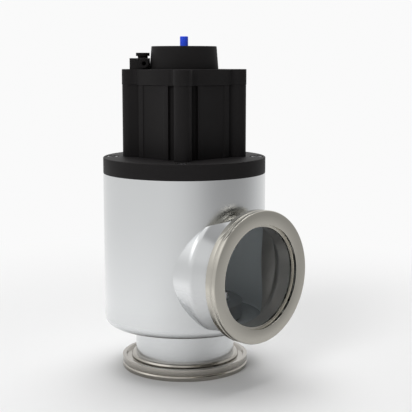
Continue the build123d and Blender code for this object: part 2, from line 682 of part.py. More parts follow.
def barrel_section():
    """Barrel's outline: flats with sunk panels, posts and the flute on each side of a post."""
    outline = barrel_core(0)
    flat_end = (BARREL_FLAT + BARREL_FLAT_HALF) / sqrt(2)
    flat_side = (BARREL_FLAT - BARREL_FLAT_HALF) / sqrt(2)
    flute_r = (flat_side - POST_R) / 2
    flute_side = POST_R + flute_r
    flute_out = flat_end - GROOVE_DEPTH + flute_r
    reach = POST_CIRCLE_R
    flute = Pos(flute_out, flute_side) * Circle(flute_r)
    flute += Pos((flute_out + reach) / 2, flute_side) * Rectangle(reach - flute_out, 2 * flute_r)
    both = flute + mirror(flute, Plane.XZ)
    for angle in POST_ANGLES:
        outline -= Rot(0, 0, angle) * both
    for panel in around(Pos(BARREL_FLAT, 0) * Rectangle(2 * PANEL_DEPTH, 2 * PANEL_HALF), 4):
        outline -= panel
    for post in posts(0):
        outline += post
    return outline


def cap_section():
    """Cap's outline: the barrel's without flutes, softened beside the posts."""
    outline = barrel_core(CAP_OVER)
    for post in posts(CAP_OVER):
        outline += post
    inner = [v for v in outline.vertices() if v.center().length < POST_CIRCLE_R - POST_R / 4]
    notches = [v for v in inner if abs(abs(v.X) - abs(v.Y)) < 2 * POST_R and not on_flat(v)]
    return fillet(notches, CAP_SOFTEN_R)


def on_flat(vertex):
    """Whether a corner of the cap's outline is the end of a flat side."""
    reach = max(abs(vertex.X), abs(vertex.Y))
    return abs(reach - BARREL_FLAT - CAP_OVER) < 0.01


def cylinder_barrel():
    """Extruded barrel with its bore, bolt holes, end-seal grooves and air passage."""
    section = barrel_section() - Circle(CYL_BORE_R)
    for place in tie_bolt_places():
        section -= place * Circle(TIE_BOLT_R + HOLE_CLEARANCE / 2)
    body = Pos(0, 0, BONNET_TOP_Z) * extrude(section, BARREL_H)
    groove_in = END_SEAL_R - END_SEAL_W / 2
    groove_out = END_SEAL_R + END_SEAL_W / 2
    body -= ring(groove_in, groove_out, BONNET_TOP_Z, BONNET_TOP_Z + END_SEAL_H)
    cross_z = BONNET_TOP_Z + END_SEAL_H + CROSS_HOLE_RISE
    low = cross_z - CROSS_HOLE_R
    body -= at_block(PASSAGE_OUT, PASSAGE_SIDE, low) * extrude(Circle(PASSAGE_R), BARREL_TOP_Z - low)
    cross = Rot(0, 90, 0) * extrude(Circle(CROSS_HOLE_R), PASSAGE_OUT)
    body -= at_block(0, PASSAGE_SIDE, cross_z) * cross
    return body


def barrel_seal():
    """Seal between the barrel and the bonnet."""
    return soft_seal(END_SEAL_R, END_SEAL_W, END_SEAL_H, BONNET_TOP_Z)


def spigot_seal_z():
    """Height of the seal round the cap's spigot."""
    return BARREL_TOP_Z - (CAP_SPIGOT_H + END_SEAL_W) / 2


def cap():
    """Cap of the cylinder, threaded for the spring housing and drilled for air."""
    outline = Pos(0, 0, BARREL_TOP_Z) * extrude(cap_section(), CAP_T)
    body = chamfer(outline.edges().group_by(Axis.Z)[-1], CAP_EDGE)
    spigot_r = CYL_BORE_R - CAP_SPIGOT_CLEARANCE
    body += disc(spigot_r, BARREL_TOP_Z - CAP_SPIGOT_H, BARREL_TOP_Z)
    seal_low = spigot_seal_z()
    body -= ring(spigot_r - END_SEAL_H, spigot_r, seal_low, seal_low + END_SEAL_W)
    body -= disc(DOME_BORE_R, BARREL_TOP_Z - CAP_SPIGOT_H, CAP_TOP_Z)
    body -= disc(DOME_BORE_R + DOME_THREAD_WALL, CAP_TOP_Z - DOME_THREAD_L, CAP_TOP_Z)
    hole = disc(TIE_BOLT_R + HOLE_CLEARANCE / 2, BARREL_TOP_Z, CAP_TOP_Z)
    sunk = disc(TIE_BOLT_HEAD_R + HEAD_CLEARANCE, CAP_TOP_Z - TIE_BOLT_SINK, CAP_TOP_Z)
    for place in tie_bolt_places():
        body -= place * (hole + sunk)
    air = extrude(Circle(PASSAGE_R), CAP_T)
    seal_groove = extrude(Circle(PASSAGE_SEAL_R + PASSAGE_SEAL_W / 2), PASSAGE_SEAL_H)
    body -= at_block(PASSAGE_OUT, PASSAGE_SIDE, BARREL_TOP_Z) * (air + seal_groove)
    vent = extrude(Circle(VENT_HOLE_R), CAP_T - VENT_CROSS_RISE)
    vent += Rot(0, -90, 0) * extrude(Circle(VENT_HOLE_R), VENT_EXIT_OUT - 0.9 * DOME_BORE_R)
    body -= at_block(VENT_EXIT_OUT, VENT_SIDE, BARREL_TOP_Z + VENT_CROSS_RISE) * vent
    for side in (-BLOCK_SCREW_SIDE, BLOCK_SCREW_SIDE):
        depth = BLOCK_SCREW_BITE + TAP_RUNOUT
        tapped = extrude(Circle(BLOCK_SCREW_R + THREAD_GAP), depth)
        body -= at_block(BLOCK_SCREW_OUT, side, CAP_TOP_Z - depth) * tapped
    return body


def cap_seal():
    """Seal round the cap's spigot, in the barrel's bore."""
    outer = CYL_BORE_R
    inner = CYL_BORE_R - CAP_SPIGOT_CLEARANCE - END_SEAL_H
    return soft_seal((inner + outer) / 2, outer - inner, END_SEAL_W, spigot_seal_z())


def tie_bolts():
    """Long bolts through the cap and the posts into the bonnet."""
    seat_z = CAP_TOP_Z - TIE_BOLT_SINK
    length = seat_z - BONNET_TOP_Z + TIE_BOLT_BITE
    bolt = cap_screw(TIE_BOLT_R, length, TIE_BOLT_HEAD_R, TIE_BOLT_HEAD_H, TIE_BOLT_HEAD_R / 2)
    return [place * Pos(0, 0, seat_z) * bolt for place in tie_bolt_places()]


def dome_cover():
    """Spring housing screwed into the cap, slightly tapered, with a lip at its base."""
    thread_r = DOME_BORE_R + DOME_THREAD_WALL
    thread_low = CAP_TOP_Z - DOME_THREAD_L
    lip_top = CAP_TOP_Z + DOME_LIP_H
    return turned([
        (DOME_BORE_R, thread_low), (thread_r, thread_low), (thread_r, CAP_TOP_Z),
        (DOME_LIP_R, CAP_TOP_Z), (DOME_LIP_R, lip_top - DOME_EDGE),
        (DOME_LIP_R - DOME_EDGE, lip_top), (DOME_BASE_R, lip_top),
        (DOME_TOP_R, DOME_TOP_Z - DOME_EDGE), (DOME_TOP_R - DOME_EDGE, DOME_TOP_Z),
        (INDICATOR_BUSH_R, DOME_TOP_Z), (INDICATOR_BUSH_R, DOME_ROOF_Z),
        (DOME_BORE_R, DOME_ROOF_Z),
    ])


def indicator_bush():
    """Bush that guides the indicator pin through the housing's roof."""
    low = DOME_TOP_Z - INDICATOR_BUSH_L
    return ring(PIN_R + RUNNING_CLEARANCE, INDICATOR_BUSH_R, low, DOME_TOP_Z)


def closing_spring():
    """Coil spring between the piston and the housing's roof."""
    low = PISTON_TOP_Z + SPRING_WIRE_R + SPRING_SEAT_GAP
    height = DOME_ROOF_Z - PISTON_TOP_Z - 2 * (SPRING_WIRE_R + SPRING_SEAT_GAP)
    path = Pos(0, 0, low) * Helix(height / SPRING_TURNS, height, SPRING_MEAN_R)
    section = Plane(path @ 0, z_dir=path % 0) * RegularPolygon(SPRING_WIRE_R, SPRING_WIRE_SIDES)
    return sweep(section, path=path)


# Air port block

def port_block():
    """Block on the cap that holds the air fitting and the vent."""
    length = BLOCK_OUT - BLOCK_IN
    form = extrude(Rectangle(length, 2 * BLOCK_HALF_W), BLOCK_H)
    form = fillet(form.edges().filter_by(Axis.Z), BLOCK_EDGE)
    form = chamfer(form.edges().group_by(Axis.Z)[-1], BLOCK_EDGE / 2)
    body = at_block((BLOCK_IN + BLOCK_OUT) / 2, 0, CAP_TOP_Z) * form
    air = extrude(Circle(PASSAGE_R), FITTING_RISE + PASSAGE_R)
    seal_groove = extrude(Circle(PASSAGE_SEAL_R + PASSAGE_SEAL_W / 2), PASSAGE_SEAL_H)
    body -= at_block(PASSAGE_OUT, PASSAGE_SIDE, CAP_TOP_Z) * (air + seal_groove)
    front = Rot(-90, 0, 0)
    mouth_l = FITTING_THREAD_L + TAP_RUNOUT
    mouth = front * extrude(Circle(FITTING_THREAD_R), mouth_l)
    body -= at_block(FITTING_OUT, BLOCK_HALF_W - mouth_l, CAP_TOP_Z + FITTING_RISE) * mouth
    feed = front * extrude(Circle(PASSAGE_R), BLOCK_HALF_W - PASSAGE_SIDE)
    body -= at_block(FITTING_OUT, PASSAGE_SIDE - PASSAGE_R, CAP_TOP_Z + FITTING_RISE) * feed
    vent = extrude(Circle(VENT_HOLE_R), BLOCK_H)
    body -= at_block(VENT_OUT, VENT_SIDE, CAP_TOP_Z) * vent
    socket = extrude(Circle(VENT_THREAD_R), VENT_THREAD_L)
    body -= at_block(VENT_OUT, VENT_SIDE, BLOCK_TOP_Z - VENT_THREAD_L) * socket
    run = VENT_OUT - VENT_EXIT_OUT
    channel = extrude(SlotCenterToCenter(run, 2 * VENT_HOLE_R), VENT_CHANNEL_DEPTH)
    body -= at_block((VENT_OUT + VENT_EXIT_OUT) / 2, VENT_SIDE, CAP_TOP_Z) * channel
    for side in (-BLOCK_SCREW_SIDE, BLOCK_SCREW_SIDE):
        hole = extrude(Circle(BLOCK_SCREW_R + HOLE_CLEARANCE / 2), BLOCK_H)
        sunk = Pos(0, 0, BLOCK_H - BLOCK_SCREW_HEAD_H) * extrude(
            Circle(BLOCK_SCREW_HEAD_R + HEAD_CLEARANCE / 2), BLOCK_SCREW_HEAD_H)
        body -= at_block(BLOCK_SCREW_OUT, side, CAP_TOP_Z) * (hole + sunk)
    return body


def passage_seals():
    """Small seals round the air passage, above and below the cap."""
    seal = soft_seal(PASSAGE_SEAL_R, PASSAGE_SEAL_W, PASSAGE_SEAL_H, 0)
    return [at_block(PASSAGE_OUT, PASSAGE_SIDE, z) * seal for z in (BARREL_TOP_Z, CAP_TOP_Z)]


def block_screws():
    """Screws that hold the port block."""
    seat_z = BLOCK_TOP_Z - BLOCK_SCREW_HEAD_H
    length = seat_z - CAP_TOP_Z + BLOCK_SCREW_BITE
    screw = cap_screw(BLOCK_SCREW_R, length, BLOCK_SCREW_HEAD_R, 0.9 * BLOCK_SCREW_HEAD_H,
                      BLOCK_SCREW_R)
    sides = (-BLOCK_SCREW_SIDE, BLOCK_SCREW_SIDE)
    return [at_block(BLOCK_SCREW_OUT, side, seat_z) * screw for side in sides]


def at_fitting(side):
    """Place on the air fitting's axis, which points to the block's front."""
    return at_block(FITTING_OUT, side, CAP_TOP_Z + FITTING_RISE) * Rot(-90, 0, 0)


def air_fitting():
    """Push-in fitting screwed into the block's front."""
    edge = 0.1 * FITTING_R
    mouth = COLLAR_R + RUNNING_CLEARANCE
    deep = FITTING_L - COLLAR_DEEP - COLLAR_TRAVEL
    form = turned([
        (PASSAGE_R, -FITTING_THREAD_L), (FITTING_THREAD_R, -FITTING_THREAD_L),
        (FITTING_THREAD_R, 0), (FITTING_R, 0), (FITTING_R, FITTING_L - edge),
        (FITTING_R - edge, FITTING_L), (mouth, FITTING_L), (mouth, deep), (PASSAGE_R, deep),
    ])
    return at_fitting(BLOCK_HALF_W) * form


def release_collar():
    """Collar in the fitting's mouth, pressed in to free the tube."""
    low = FITTING_L - COLLAR_DEEP
    top = FITTING_L + COLLAR_SHOWS
    under = FITTING_L + COLLAR_TRAVEL + 2 * RUNNING_CLEARANCE
    form = turned([
        (COLLAR_BORE_R, low), (COLLAR_R, low), (COLLAR_R, under), (COLLAR_HEAD_R, under),
        (COLLAR_HEAD_R, top), (COLLAR_BORE_R, top),
    ])
    return at_fitting(BLOCK_HALF_W) * form


def breather_vent():
    """Mushroom vent of the spring side, screwed into the block's top."""
    cap_low = VENT_STEM_H
    cap_top = VENT_STEM_H + VENT_CAP_H
    crown = VENT_CAP_H / 4
    form = turned([
        (VENT_HOLE_R, -VENT_THREAD_L), (VENT_THREAD_R, -VENT_THREAD_L), (VENT_THREAD_R, 0),
        (VENT_STEM_R, 0), (VENT_STEM_R, cap_low), (VENT_CAP_R, cap_low),
        (VENT_CAP_R, cap_top - crown), (VENT_CAP_R - crown, cap_top), (0, cap_top),
        (0, cap_low), (VENT_HOLE_R, cap_low),
    ])
    return at_block(VENT_OUT, VENT_SIDE, BLOCK_TOP_Z) * form


def nodes():
    """Every piece by name, a list where like pieces share one name."""
    return {
        "body_shell": body_shell(),
        "side_outlet": side_outlet(),
        "side_neck": side_neck(),
        "side_flange": along_side(flange()),
        "lower_neck": lower_neck(),
        "lower_flange": flange(),
        "seat_ring": seat_ring(),
        "bonnet_ring": bonnet_ring(),
        "bonnet_seal": bonnet_seal(),
        "bonnet_plate": bonnet_plate(),
        "bonnet_bolts": bonnet_bolts(),
        "guide_bush": guide_bush(),
        "rod_seal": rod_seal(),
        "bellows_top_ring": bellows_top_ring(),
        "bellows_top_seal": bellows_top_seal(),
        "bellows_top_screws": bellows_top_screws(),
        "bellows": bellows(),
        "bellows_foot": bellows_foot(),
        "valve_plate": valve_plate(),
        "plate_seal": plate_seal(),
        "plate_screws": plate_screws(),
        "stem": stem(),
        "piston": piston(),
        "piston_seal": piston_seal(),
        "piston_guide_ring": piston_guide_ring(),
        "piston_nut": piston_nut(),
        "indicator_pin": indicator_pin(),
        "cylinder_barrel": cylinder_barrel(),
        "barrel_seal": barrel_seal(),
        "cap": cap(),
        "cap_seal": cap_seal(),
        "tie_bolts": tie_bolts(),
        "dome_cover": dome_cover(),
        "indicator_bush": indicator_bush(),
        "closing_spring": closing_spring(),
        "port_block": port_block(),
        "passage_seals": passage_seals(),
        "block_screws": block_screws(),
        "air_fitting": air_fitting(),
        "release_collar": release_collar(),
        "breather_vent": breather_vent(),
    }


os.makedirs("parts", exist_ok=True)
for name, shape in nodes().items():
    if isinstance(shape, list):
        shape = Compound(children=shape)
    export_step(shape, f"parts/{name}.step")
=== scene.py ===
from math import atan2, cos, hypot, pi, radians, sin, sqrt, tan

import bmesh
import bpy
from mathutils import Matrix, Vector


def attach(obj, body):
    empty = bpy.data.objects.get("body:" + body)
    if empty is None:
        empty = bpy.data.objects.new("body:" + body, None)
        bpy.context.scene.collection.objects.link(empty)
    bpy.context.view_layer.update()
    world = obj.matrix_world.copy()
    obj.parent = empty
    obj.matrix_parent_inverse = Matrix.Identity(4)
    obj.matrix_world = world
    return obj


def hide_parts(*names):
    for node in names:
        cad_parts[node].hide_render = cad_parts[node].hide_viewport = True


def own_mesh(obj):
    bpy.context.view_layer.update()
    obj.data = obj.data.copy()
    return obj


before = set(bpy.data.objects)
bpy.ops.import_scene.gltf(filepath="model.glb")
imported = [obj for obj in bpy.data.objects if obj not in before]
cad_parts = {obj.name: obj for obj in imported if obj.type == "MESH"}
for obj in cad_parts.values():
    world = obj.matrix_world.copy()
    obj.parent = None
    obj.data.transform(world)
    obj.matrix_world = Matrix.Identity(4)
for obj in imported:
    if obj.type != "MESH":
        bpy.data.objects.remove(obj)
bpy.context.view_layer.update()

MM = 0.001
POST_ANGLES = (45, 135, 225, 315)
LATHE_R = 0.1                   # metres, circle that turned sections are swept along

# Sizes in millimetres, as in the part's source. Heights are above the lower port's face.
AXIS_Z = 108.0                  # side port's axis
FACE_X = 108.0                  # side port's face
TUBE_R = 50.8
BORE_R = 48.8
BODY_R = 82.5
BODY_IN_R = 80.5
BODY_Z = 47.0                   # body's underside
FLOOR_Z = 50.0                  # body's floor inside
BODY_TOP = 202.0
BONNET_TOP = 217.8
BARREL_TOP = 290.1
CAP_TOP = 305.8
BLOCK_TOP = 316.7
DOME_ROOF = 325.0
DOME_TOP = 328.5
PIN_TOP = 338.3
PLATE_Z = 53.5
PLATE_TOP = 68.5
FOOT_STEP = 72.5                # top of the bellows foot's rim
FOOT_TOP = 76.5
TOP_RING_Z = 191.0

# Depths behind a flange's face, then the side outlet's wide end and its wall.
TUBE_START = 7.0
OUTLET_START = 18.0
CONE_START = 22.0
CONE_END = 35.5
OUTLET_END = 101.0
OUTLET_R = 64.4
OUTLET_WALL = 2.0

# Circles of screws, and the heights that their heads sit on.
BONNET_BOLT_R = 73.5
BELLOWS_SCREW_R = 48.5
PLATE_SCREW_R = 42.2
POST_AT = 54.0                  # corner posts and tie bolts
BONNET_SEAT_Z = 209.3
CAP_SEAT_Z = 298.8

# The air cylinder and its spring housing.
CYLINDER_R = 36.5
TIE_WAY_R = 3.25
DOME_IN_R = 29.5
DOME_THREAD_R = 31.1
DOME_FOOT_Z = 295.8
PANEL_SINK = 0.8
FLAT_HALF = 21.9353             # half the width of a flat side
PANEL_HALF = 14.8353            # half the width of its sunk panel

# Air passage, vent and block. Places are out along the far left post and sideways from it.
AIR_R = 2.0
AIR_OUT = 42.5
AIR_SIDE = 3.5
AIR_CROSS_R = 1.5
AIR_CROSS_Z = 221.4
VENT_R = 1.2
VENT_SIDE = -4.5
VENT_OUT = 42.2                 # vent's hole in the block
VENT_SEEN_OUT = 41.8            # the vent as the photo shows it
VENT_CAP_OUT = 37.2             # vent's hole in the cap
VENT_CAP_Z = 292.6
BLOCK_HALF_W = 8.5
BLOCK_H = 10.9
BLOCK_SCREW_OUT = 46.5
BLOCK_SCREW_SIDES = (-6.2, 6.2)
FITTING_OUT = 39.2
FITTING_RISE = 5.7              # fitting's axis above the cap

BACKGROUND = (0.955, 0.955, 0.955)
SOFT_SHARE = 0.34               # light of the surround on what doesn't mirror it

# Directions in the studio.
DARK_SIDE = (0.919, 0.395, 0.0)
WINDOW_ACROSS = (0.985, -0.174, 0)
WINDOW_FACING = (-0.174, -0.985, 0)
DARK_OVERHEAD = (0.55, -0.05, 0.83)

SCENE = bpy.context.scene.collection


def added(name, data):
    """New object at the origin, linked to the scene."""
    made = bpy.data.objects.new(name, data)
    SCENE.objects.link(made)
    return made


# Finishes.

class Value:
    """A socket's value, so that trees are written as ordinary maths."""

    def __init__(self, finish, socket):
        self.finish = finish
        self.socket = socket

    def __add__(self, other):
        return self.finish.maths("ADD", self, other)

    def __radd__(self, other):
        return self.finish.maths("ADD", other, self)

    def __sub__(self, other):
        return self.finish.maths("SUBTRACT", self, other)

    def __rsub__(self, other):
        return self.finish.maths("SUBTRACT", other, self)

    def __mul__(self, other):
        return self.finish.maths("MULTIPLY", self, other)

    def __rmul__(self, other):
        return self.finish.maths("MULTIPLY", other, self)

    def __truediv__(self, other):
        return self.finish.maths("DIVIDE", self, other)

    def __rtruediv__(self, other):
        return self.finish.maths("DIVIDE", other, self)


class Recipe:
    """Makes the nodes of one tree."""

    def __init__(self, tree):
        self.tree = tree
        tree.nodes.clear()

    def node(self, kind, settings=None, sockets=None):
        """A node of one type, with its settings made first and then its sockets."""
        made = self.tree.nodes.new(kind)
        for name, setting in (settings or {}).items():
            if name == "stops":
                self.set_stops(made.color_ramp, setting)
            else:
                setattr(made, name, setting)
        for name, given in (sockets or {}).items():
            self.feed(made.inputs[name], given)
        return made

    def feed(self, socket, given):
        """Links a value to a socket, or sets the socket to a plain number or colour."""
        if isinstance(given, Value):
            self.tree.links.new(given.socket, socket)
        elif isinstance(given, tuple) and len(given) == 3 and socket.type == "RGBA":
            socket.default_value = (*given, 1.0)
        else:
            socket.default_value = given

    def set_stops(self, ramp, stops):
        """Gives a ramp its stops, each a place with a grey or a colour."""
        while len(ramp.elements) > 1:
            ramp.elements.remove(ramp.elements[-1])
        for i, (at, colour) in enumerate(stops):
            stop = ramp.elements[0] if i == 0 else ramp.elements.new(at)
            stop.position = at
            stop.color = (*colour, 1.0) if isinstance(colour, tuple) else (colour,) * 3 + (1.0,)

    def value(self, kind, output, settings=None, sockets=None):
        return Value(self, self.node(kind, settings, sockets).outputs[output])

    def maths(self, operation, *terms):
        return self.value("ShaderNodeMath", 0, {"operation": operation}, dict(enumerate(terms)))

    def vectors(self, operation, *terms):
        return self.value("ShaderNodeVectorMath", "Vector", {"operation": operation},
                          dict(enumerate(terms)))

    def along(self, vector, aim):
        """How far a direction points along an aim, from -1 to 1."""
        return self.value("ShaderNodeVectorMath", "Value", {"operation": "DOT_PRODUCT"},
                          {0: vector, 1: aim})

    def split(self, vector):
        apart = self.node("ShaderNodeSeparateXYZ", None, {0: vector})
        return [Value(self, apart.outputs[i]) for i in range(3)]

    def joined(self, x, y, z):
        return self.value("ShaderNodeCombineXYZ", 0, None, {0: x, 1: y, 2: z})

    def noise(self, vector, scale, detail=2.0, roughness=0.5):
        return self.value("ShaderNodeTexNoise", "Fac", None, {
            "Vector": vector, "Scale": scale, "Detail": detail, "Roughness": roughness})

    def ramp(self, factor, stops, easing="LINEAR"):
        made = self.node("ShaderNodeValToRGB", {"stops": stops}, {"Fac": factor})
        made.color_ramp.interpolation = easing
        return Value(self, made.outputs["Color"])

    def mixed(self, factor, one, two):
        """Mixes two colours. Inputs 6 and 7 and output 2 are the node's colour sockets."""
        made = self.node("ShaderNodeMix", {"data_type": "RGBA"})
        self.feed(made.inputs[0], factor)
        self.feed(made.inputs[6], one)
        self.feed(made.inputs[7], two)
        return Value(self, made.outputs[2])


class Finish(Recipe):
    """A surface finish. Its steady sockets are set straight on the shader."""

    def __init__(self, name, colour, roughness, metallic=0.0, **steady):
        self.material = bpy.data.materials.new(name)
        self.material.use_nodes = True
        super().__init__(self.material.node_tree)
        self.colour = colour
        self.shader = self.node("ShaderNodeBsdfPrincipled", None, {
            "Base Color": colour, "Roughness": roughness, "Metallic": metallic})
        for name, amount in steady.items():
            self.feed(self.shader.inputs[name.replace("_", " ")], amount)
        self.node("ShaderNodeOutputMaterial", None,
                  {"Surface": Value(self, self.shader.outputs["BSDF"])})
        self.place = self.value("ShaderNodeTexCoord", "Object")

    def vary(self, socket, given):
        self.feed(self.shader.inputs[socket], given)

    def tinted(self, amount):
        """The finish's colour made lighter or darker by a value round 1."""
        grey = self.joined(amount, amount, amount)
        return self.vectors("MULTIPLY", self.joined(*self.colour), grey)

    def raised(self, height, depth):
        """Relief from a height between 0 and 1, with its depth in millimetres."""
        bump = self.node("ShaderNodeBump", None,
                         {"Strength": 1.0, "Distance": depth * MM, "Height": height})
        self.vary("Normal", Value(self, bump.outputs["Normal"]))

    def about(self, side=False):
        """Distance from the piece's axis and place along it, in metres."""
        x, y, z = self.split(self.place)
        if side:
            z = z - AXIS_Z * MM
            return self.maths("SQRT", y * y + z * z), x
        return self.maths("SQRT", x * x + y * y), z


def steel_finish(name, colour, roughness, side=False, mottle=0.03, marks=0.004, metallic=1.0):
    """Satin steel with faint rings from turning and a slight uneven haze."""
    steel = Finish(name, colour, roughness, metallic)
    radius, along = steel.about(side)
    x, y, z = steel.split(steel.place)
    rings = steel.noise(steel.joined(radius * 900, along * 900, (x + y + z) * 12), 1.0, 3.0, 0.6)
    haze = steel.noise(steel.place, 38.0, 3.0, 0.55)
    grit = steel.noise(steel.place, 2600.0, 1.0)
    steel.vary("Base Color", steel.tinted(1.0 + mottle * (haze - 0.5) + 0.02 * (grit - 0.5)))
    steel.vary("Roughness", roughness + 0.06 * (haze - 0.5) + 0.05 * (rings - 0.5))
    steel.raised(0.7 * rings + 0.3 * grit, marks)
    return steel.material


def matt_finish(name, colour, roughness, specular=0.1, grain=1800.0, depth=0.006, mottle=0.08):
    """Matt coated metal or moulded plastic with a fine grain."""
    coat = Finish(name, colour, roughness, 0.0, Specular_IOR_Level=specular)
    haze = coat.noise(coat.place, 30.0, 3.0, 0.55)
    fine = coat.noise(coat.place, grain, 2.0, 0.6)
    coat.vary("Base Color", coat.tinted(1.0 + mottle * (haze - 0.5) + mottle * (fine - 0.5)))
    coat.vary("Roughness", roughness + 0.08 * (haze - 0.5))
    coat.raised(fine, depth)
    return coat.material


finishes = {
    "shell": steel_finish("shell_steel", (0.60, 0.61, 0.615), 0.22),
    "outlet": steel_finish("outlet_steel", (0.60, 0.61, 0.615), 0.15, side=True),
    # Painted shade: the chamber floor inside the body is a darker, less metallic copy of the steel.
    "inner_floor_painted_shade": steel_finish("chamber_floor_steel", (0.46, 0.49, 0.505), 0.40, metallic=0.30),
    # Painted light: the body's inside walls are a much lighter, less metallic copy of the steel.
    "inner": steel_finish("inner_steel", (0.88, 0.93, 0.95), 0.42, metallic=0.30),
    # Painted light: the side outlet's inside is a lighter, warmer copy of its steel.
    "inner_side": steel_finish("inner_side_steel", (0.69, 0.67, 0.635), 0.30, metallic=0.92),
    "plate": steel_finish("plate_steel", (0.50, 0.51, 0.52), 0.34),
    # Painted shade: the lower flange is a darker copy of the side flange's steel.
    "low_flange_painted_shade": steel_finish("lower_flange_steel", (0.367, 0.348, 0.315), 0.16),
    "side_flange": steel_finish("side_flange_steel", (0.458, 0.440, 0.394), 0.07, side=True),
    "flange": steel_finish("flange_steel", (0.47, 0.455, 0.405), 0.22),
    "bright": steel_finish("bright_steel", (0.84, 0.86, 0.87), 0.30),
    "ground": steel_finish("ground_steel", (0.68, 0.68, 0.69), 0.12),
    "folds": steel_finish("fold_steel", (0.74, 0.75, 0.76), 0.28),
    "spring": steel_finish("spring_steel", (0.34, 0.34, 0.35), 0.35),
    "aluminium": steel_finish("plain_aluminium", (0.72, 0.73, 0.74), 0.32),
    "bronze": steel_finish("bush_bronze", (0.50, 0.33, 0.14), 0.30),
    "screw": steel_finish("screw_steel", (0.50, 0.50, 0.51), 0.25),
    "black_screw": steel_finish("black_screw_steel", (0.045, 0.045, 0.047), 0.40),
    "anodised": matt_finish("black_anodised", (0.0142, 0.0133, 0.0135), 0.55, 0.06),
    "moulded": matt_finish("black_moulding", (0.0148, 0.0140, 0.0142), 0.60, 0.06, 1200.0, 0.010),
    "fitting": matt_finish("fitting_plastic", (0.0105, 0.0098, 0.0100), 0.62, 0.06),
    "blue": matt_finish("indicator_blue", (0.030, 0.090, 0.86), 0.40, 0.2, 900.0, 0.004, 0.05),
    "rubber": matt_finish("seal_rubber", (0.016, 0.016, 0.017), 0.65, 0.25, 700.0, 0.010),
}


# Node trees for shapes.

class Shaping(Recipe):
    """A Geometry Nodes tree with named inputs. It ends in real mesh with one finish."""

    def __init__(self, name, **inputs):
        tree = bpy.data.node_groups.new(name, "GeometryNodeTree")
        kinds = {"Int": "NodeSocketInt", "Float": "NodeSocketFloat"}
        face = tree.interface
        face.new_socket("Shape", in_out="INPUT", socket_type="NodeSocketGeometry")
        self.inputs = {}
        for label, kind in inputs.items():
            made = face.new_socket(label, in_out="INPUT", socket_type=kinds[kind])
            self.inputs[label] = made.identifier
        made = face.new_socket("Finish", in_out="INPUT", socket_type="NodeSocketMaterial")
        self.inputs["Finish"] = made.identifier
        face.new_socket("Shape", in_out="OUTPUT", socket_type="NodeSocketGeometry")
        super().__init__(tree)
        self.given = self.node("NodeGroupInput")

    def input(self, label):
        return Value(self, self.given.outputs[label])

    def swept_round(self, section):
        """Sweeps a section round Z. It holds radius - LATHE_R and -height."""
        path = self.value("GeometryNodeCurvePrimitiveCircle", 0, None,
                          {"Resolution": self.input("Sides"), "Radius": LATHE_R})
        return self.value("GeometryNodeCurveToMesh", 0, None,
                          {"Curve": path, "Profile Curve": section})

    def close(self, shape):
        """Ends the tree with real mesh in the given finish."""
        real = self.value("GeometryNodeRealizeInstances", 0, None, {0: shape})
        painted = self.value("GeometryNodeSetMaterial", 0, None,
                             {"Geometry": real, "Material": self.input("Finish")})
        self.node("NodeGroupOutput", None, {0: painted})

    def run(self, name, mesh, finish, **inputs):
        """Runs the tree on a mesh and gives the result as a plain new object."""
        holder = added(name + "_holder", mesh)
        modifier = holder.modifiers.new("shaping", "NODES")
        modifier.node_group = self.tree
        for label, given in inputs.items():
            modifier[self.inputs[label]] = given
        modifier[self.inputs["Finish"]] = finishes[finish]
        graph = bpy.context.evaluated_depsgraph_get()
        shaped = bpy.data.meshes.new_from_object(holder.evaluated_get(graph))
        bpy.data.objects.remove(holder)
        return added(name, shaped)


def turning_tree():
    """Turns a closed section about Z."""
    tree = Shaping("turning", Sides="Int")
    section = tree.value("GeometryNodeMeshToCurve", 0, None, {0: tree.input("Shape")})
    tree.close(tree.value("GeometryNodeMergeByDistance", 0, None,
                          {"Geometry": tree.swept_round(section), "Distance": 0.000002}))
    return tree


def ring_tree():
    """Sets copies of one fastener evenly round Z, with their seat at one height."""
    tree = Shaping("fasteners_round_axis", Count="Int", Radius="Float", Start="Float",
                   Height="Float")
    places = tree.node("GeometryNodeMeshCircle", None,
                       {"Vertices": tree.input("Count"), "Radius": tree.input("Radius")})
    turn = tree.joined(0.0, 0.0, tree.input("Start"))
    lift = tree.joined(0.0, 0.0, tree.input("Height"))
    placed = tree.value("GeometryNodeTransform", 0, None, {
        "Geometry": Value(tree, places.outputs[0]), "Rotation": turn, "Translation": lift})
    tree.close(tree.value("GeometryNodeInstanceOnPoints", 0, None,
                          {"Points": placed, "Instance": tree.input("Shape")}))
    return tree


def folds_tree():
    """Bellows of equal folds between two radii, as one sheet with rounded edges."""
    tree = Shaping("bellows_folds", Folds="Int", Inner="Float", Outer="Float", Low="Float",
                   High="Float", Sides="Int")
    per_fold = 16
    steps = tree.input("Folds") * per_fold
    line = tree.value("GeometryNodeMeshLine", 0, None, {"Count": steps + 1})
    at = tree.value("GeometryNodeInputIndex", 0)
    share = at / per_fold
    wave = tree.maths("PINGPONG", share * 2.0, 1.0)
    edge = tree.maths("SMOOTH_MAX", wave, 0.06, 0.12)
    edge = tree.maths("SMOOTH_MIN", edge, 0.97, 0.08)
    reach = tree.input("Outer") - tree.input("Inner")
    radius = tree.input("Inner") + reach * edge
    height = tree.input("Low") + (tree.input("High") - tree.input("Low")) * at / steps
    placed = tree.value("GeometryNodeSetPosition", 0, None, {
        "Geometry": line, "Position": tree.joined(radius - LATHE_R, -1.0 * height, 0.0)})
    section = tree.value("GeometryNodeMeshToCurve", 0, None, {0: placed})
    tree.close(tree.swept_round(section))
    return tree


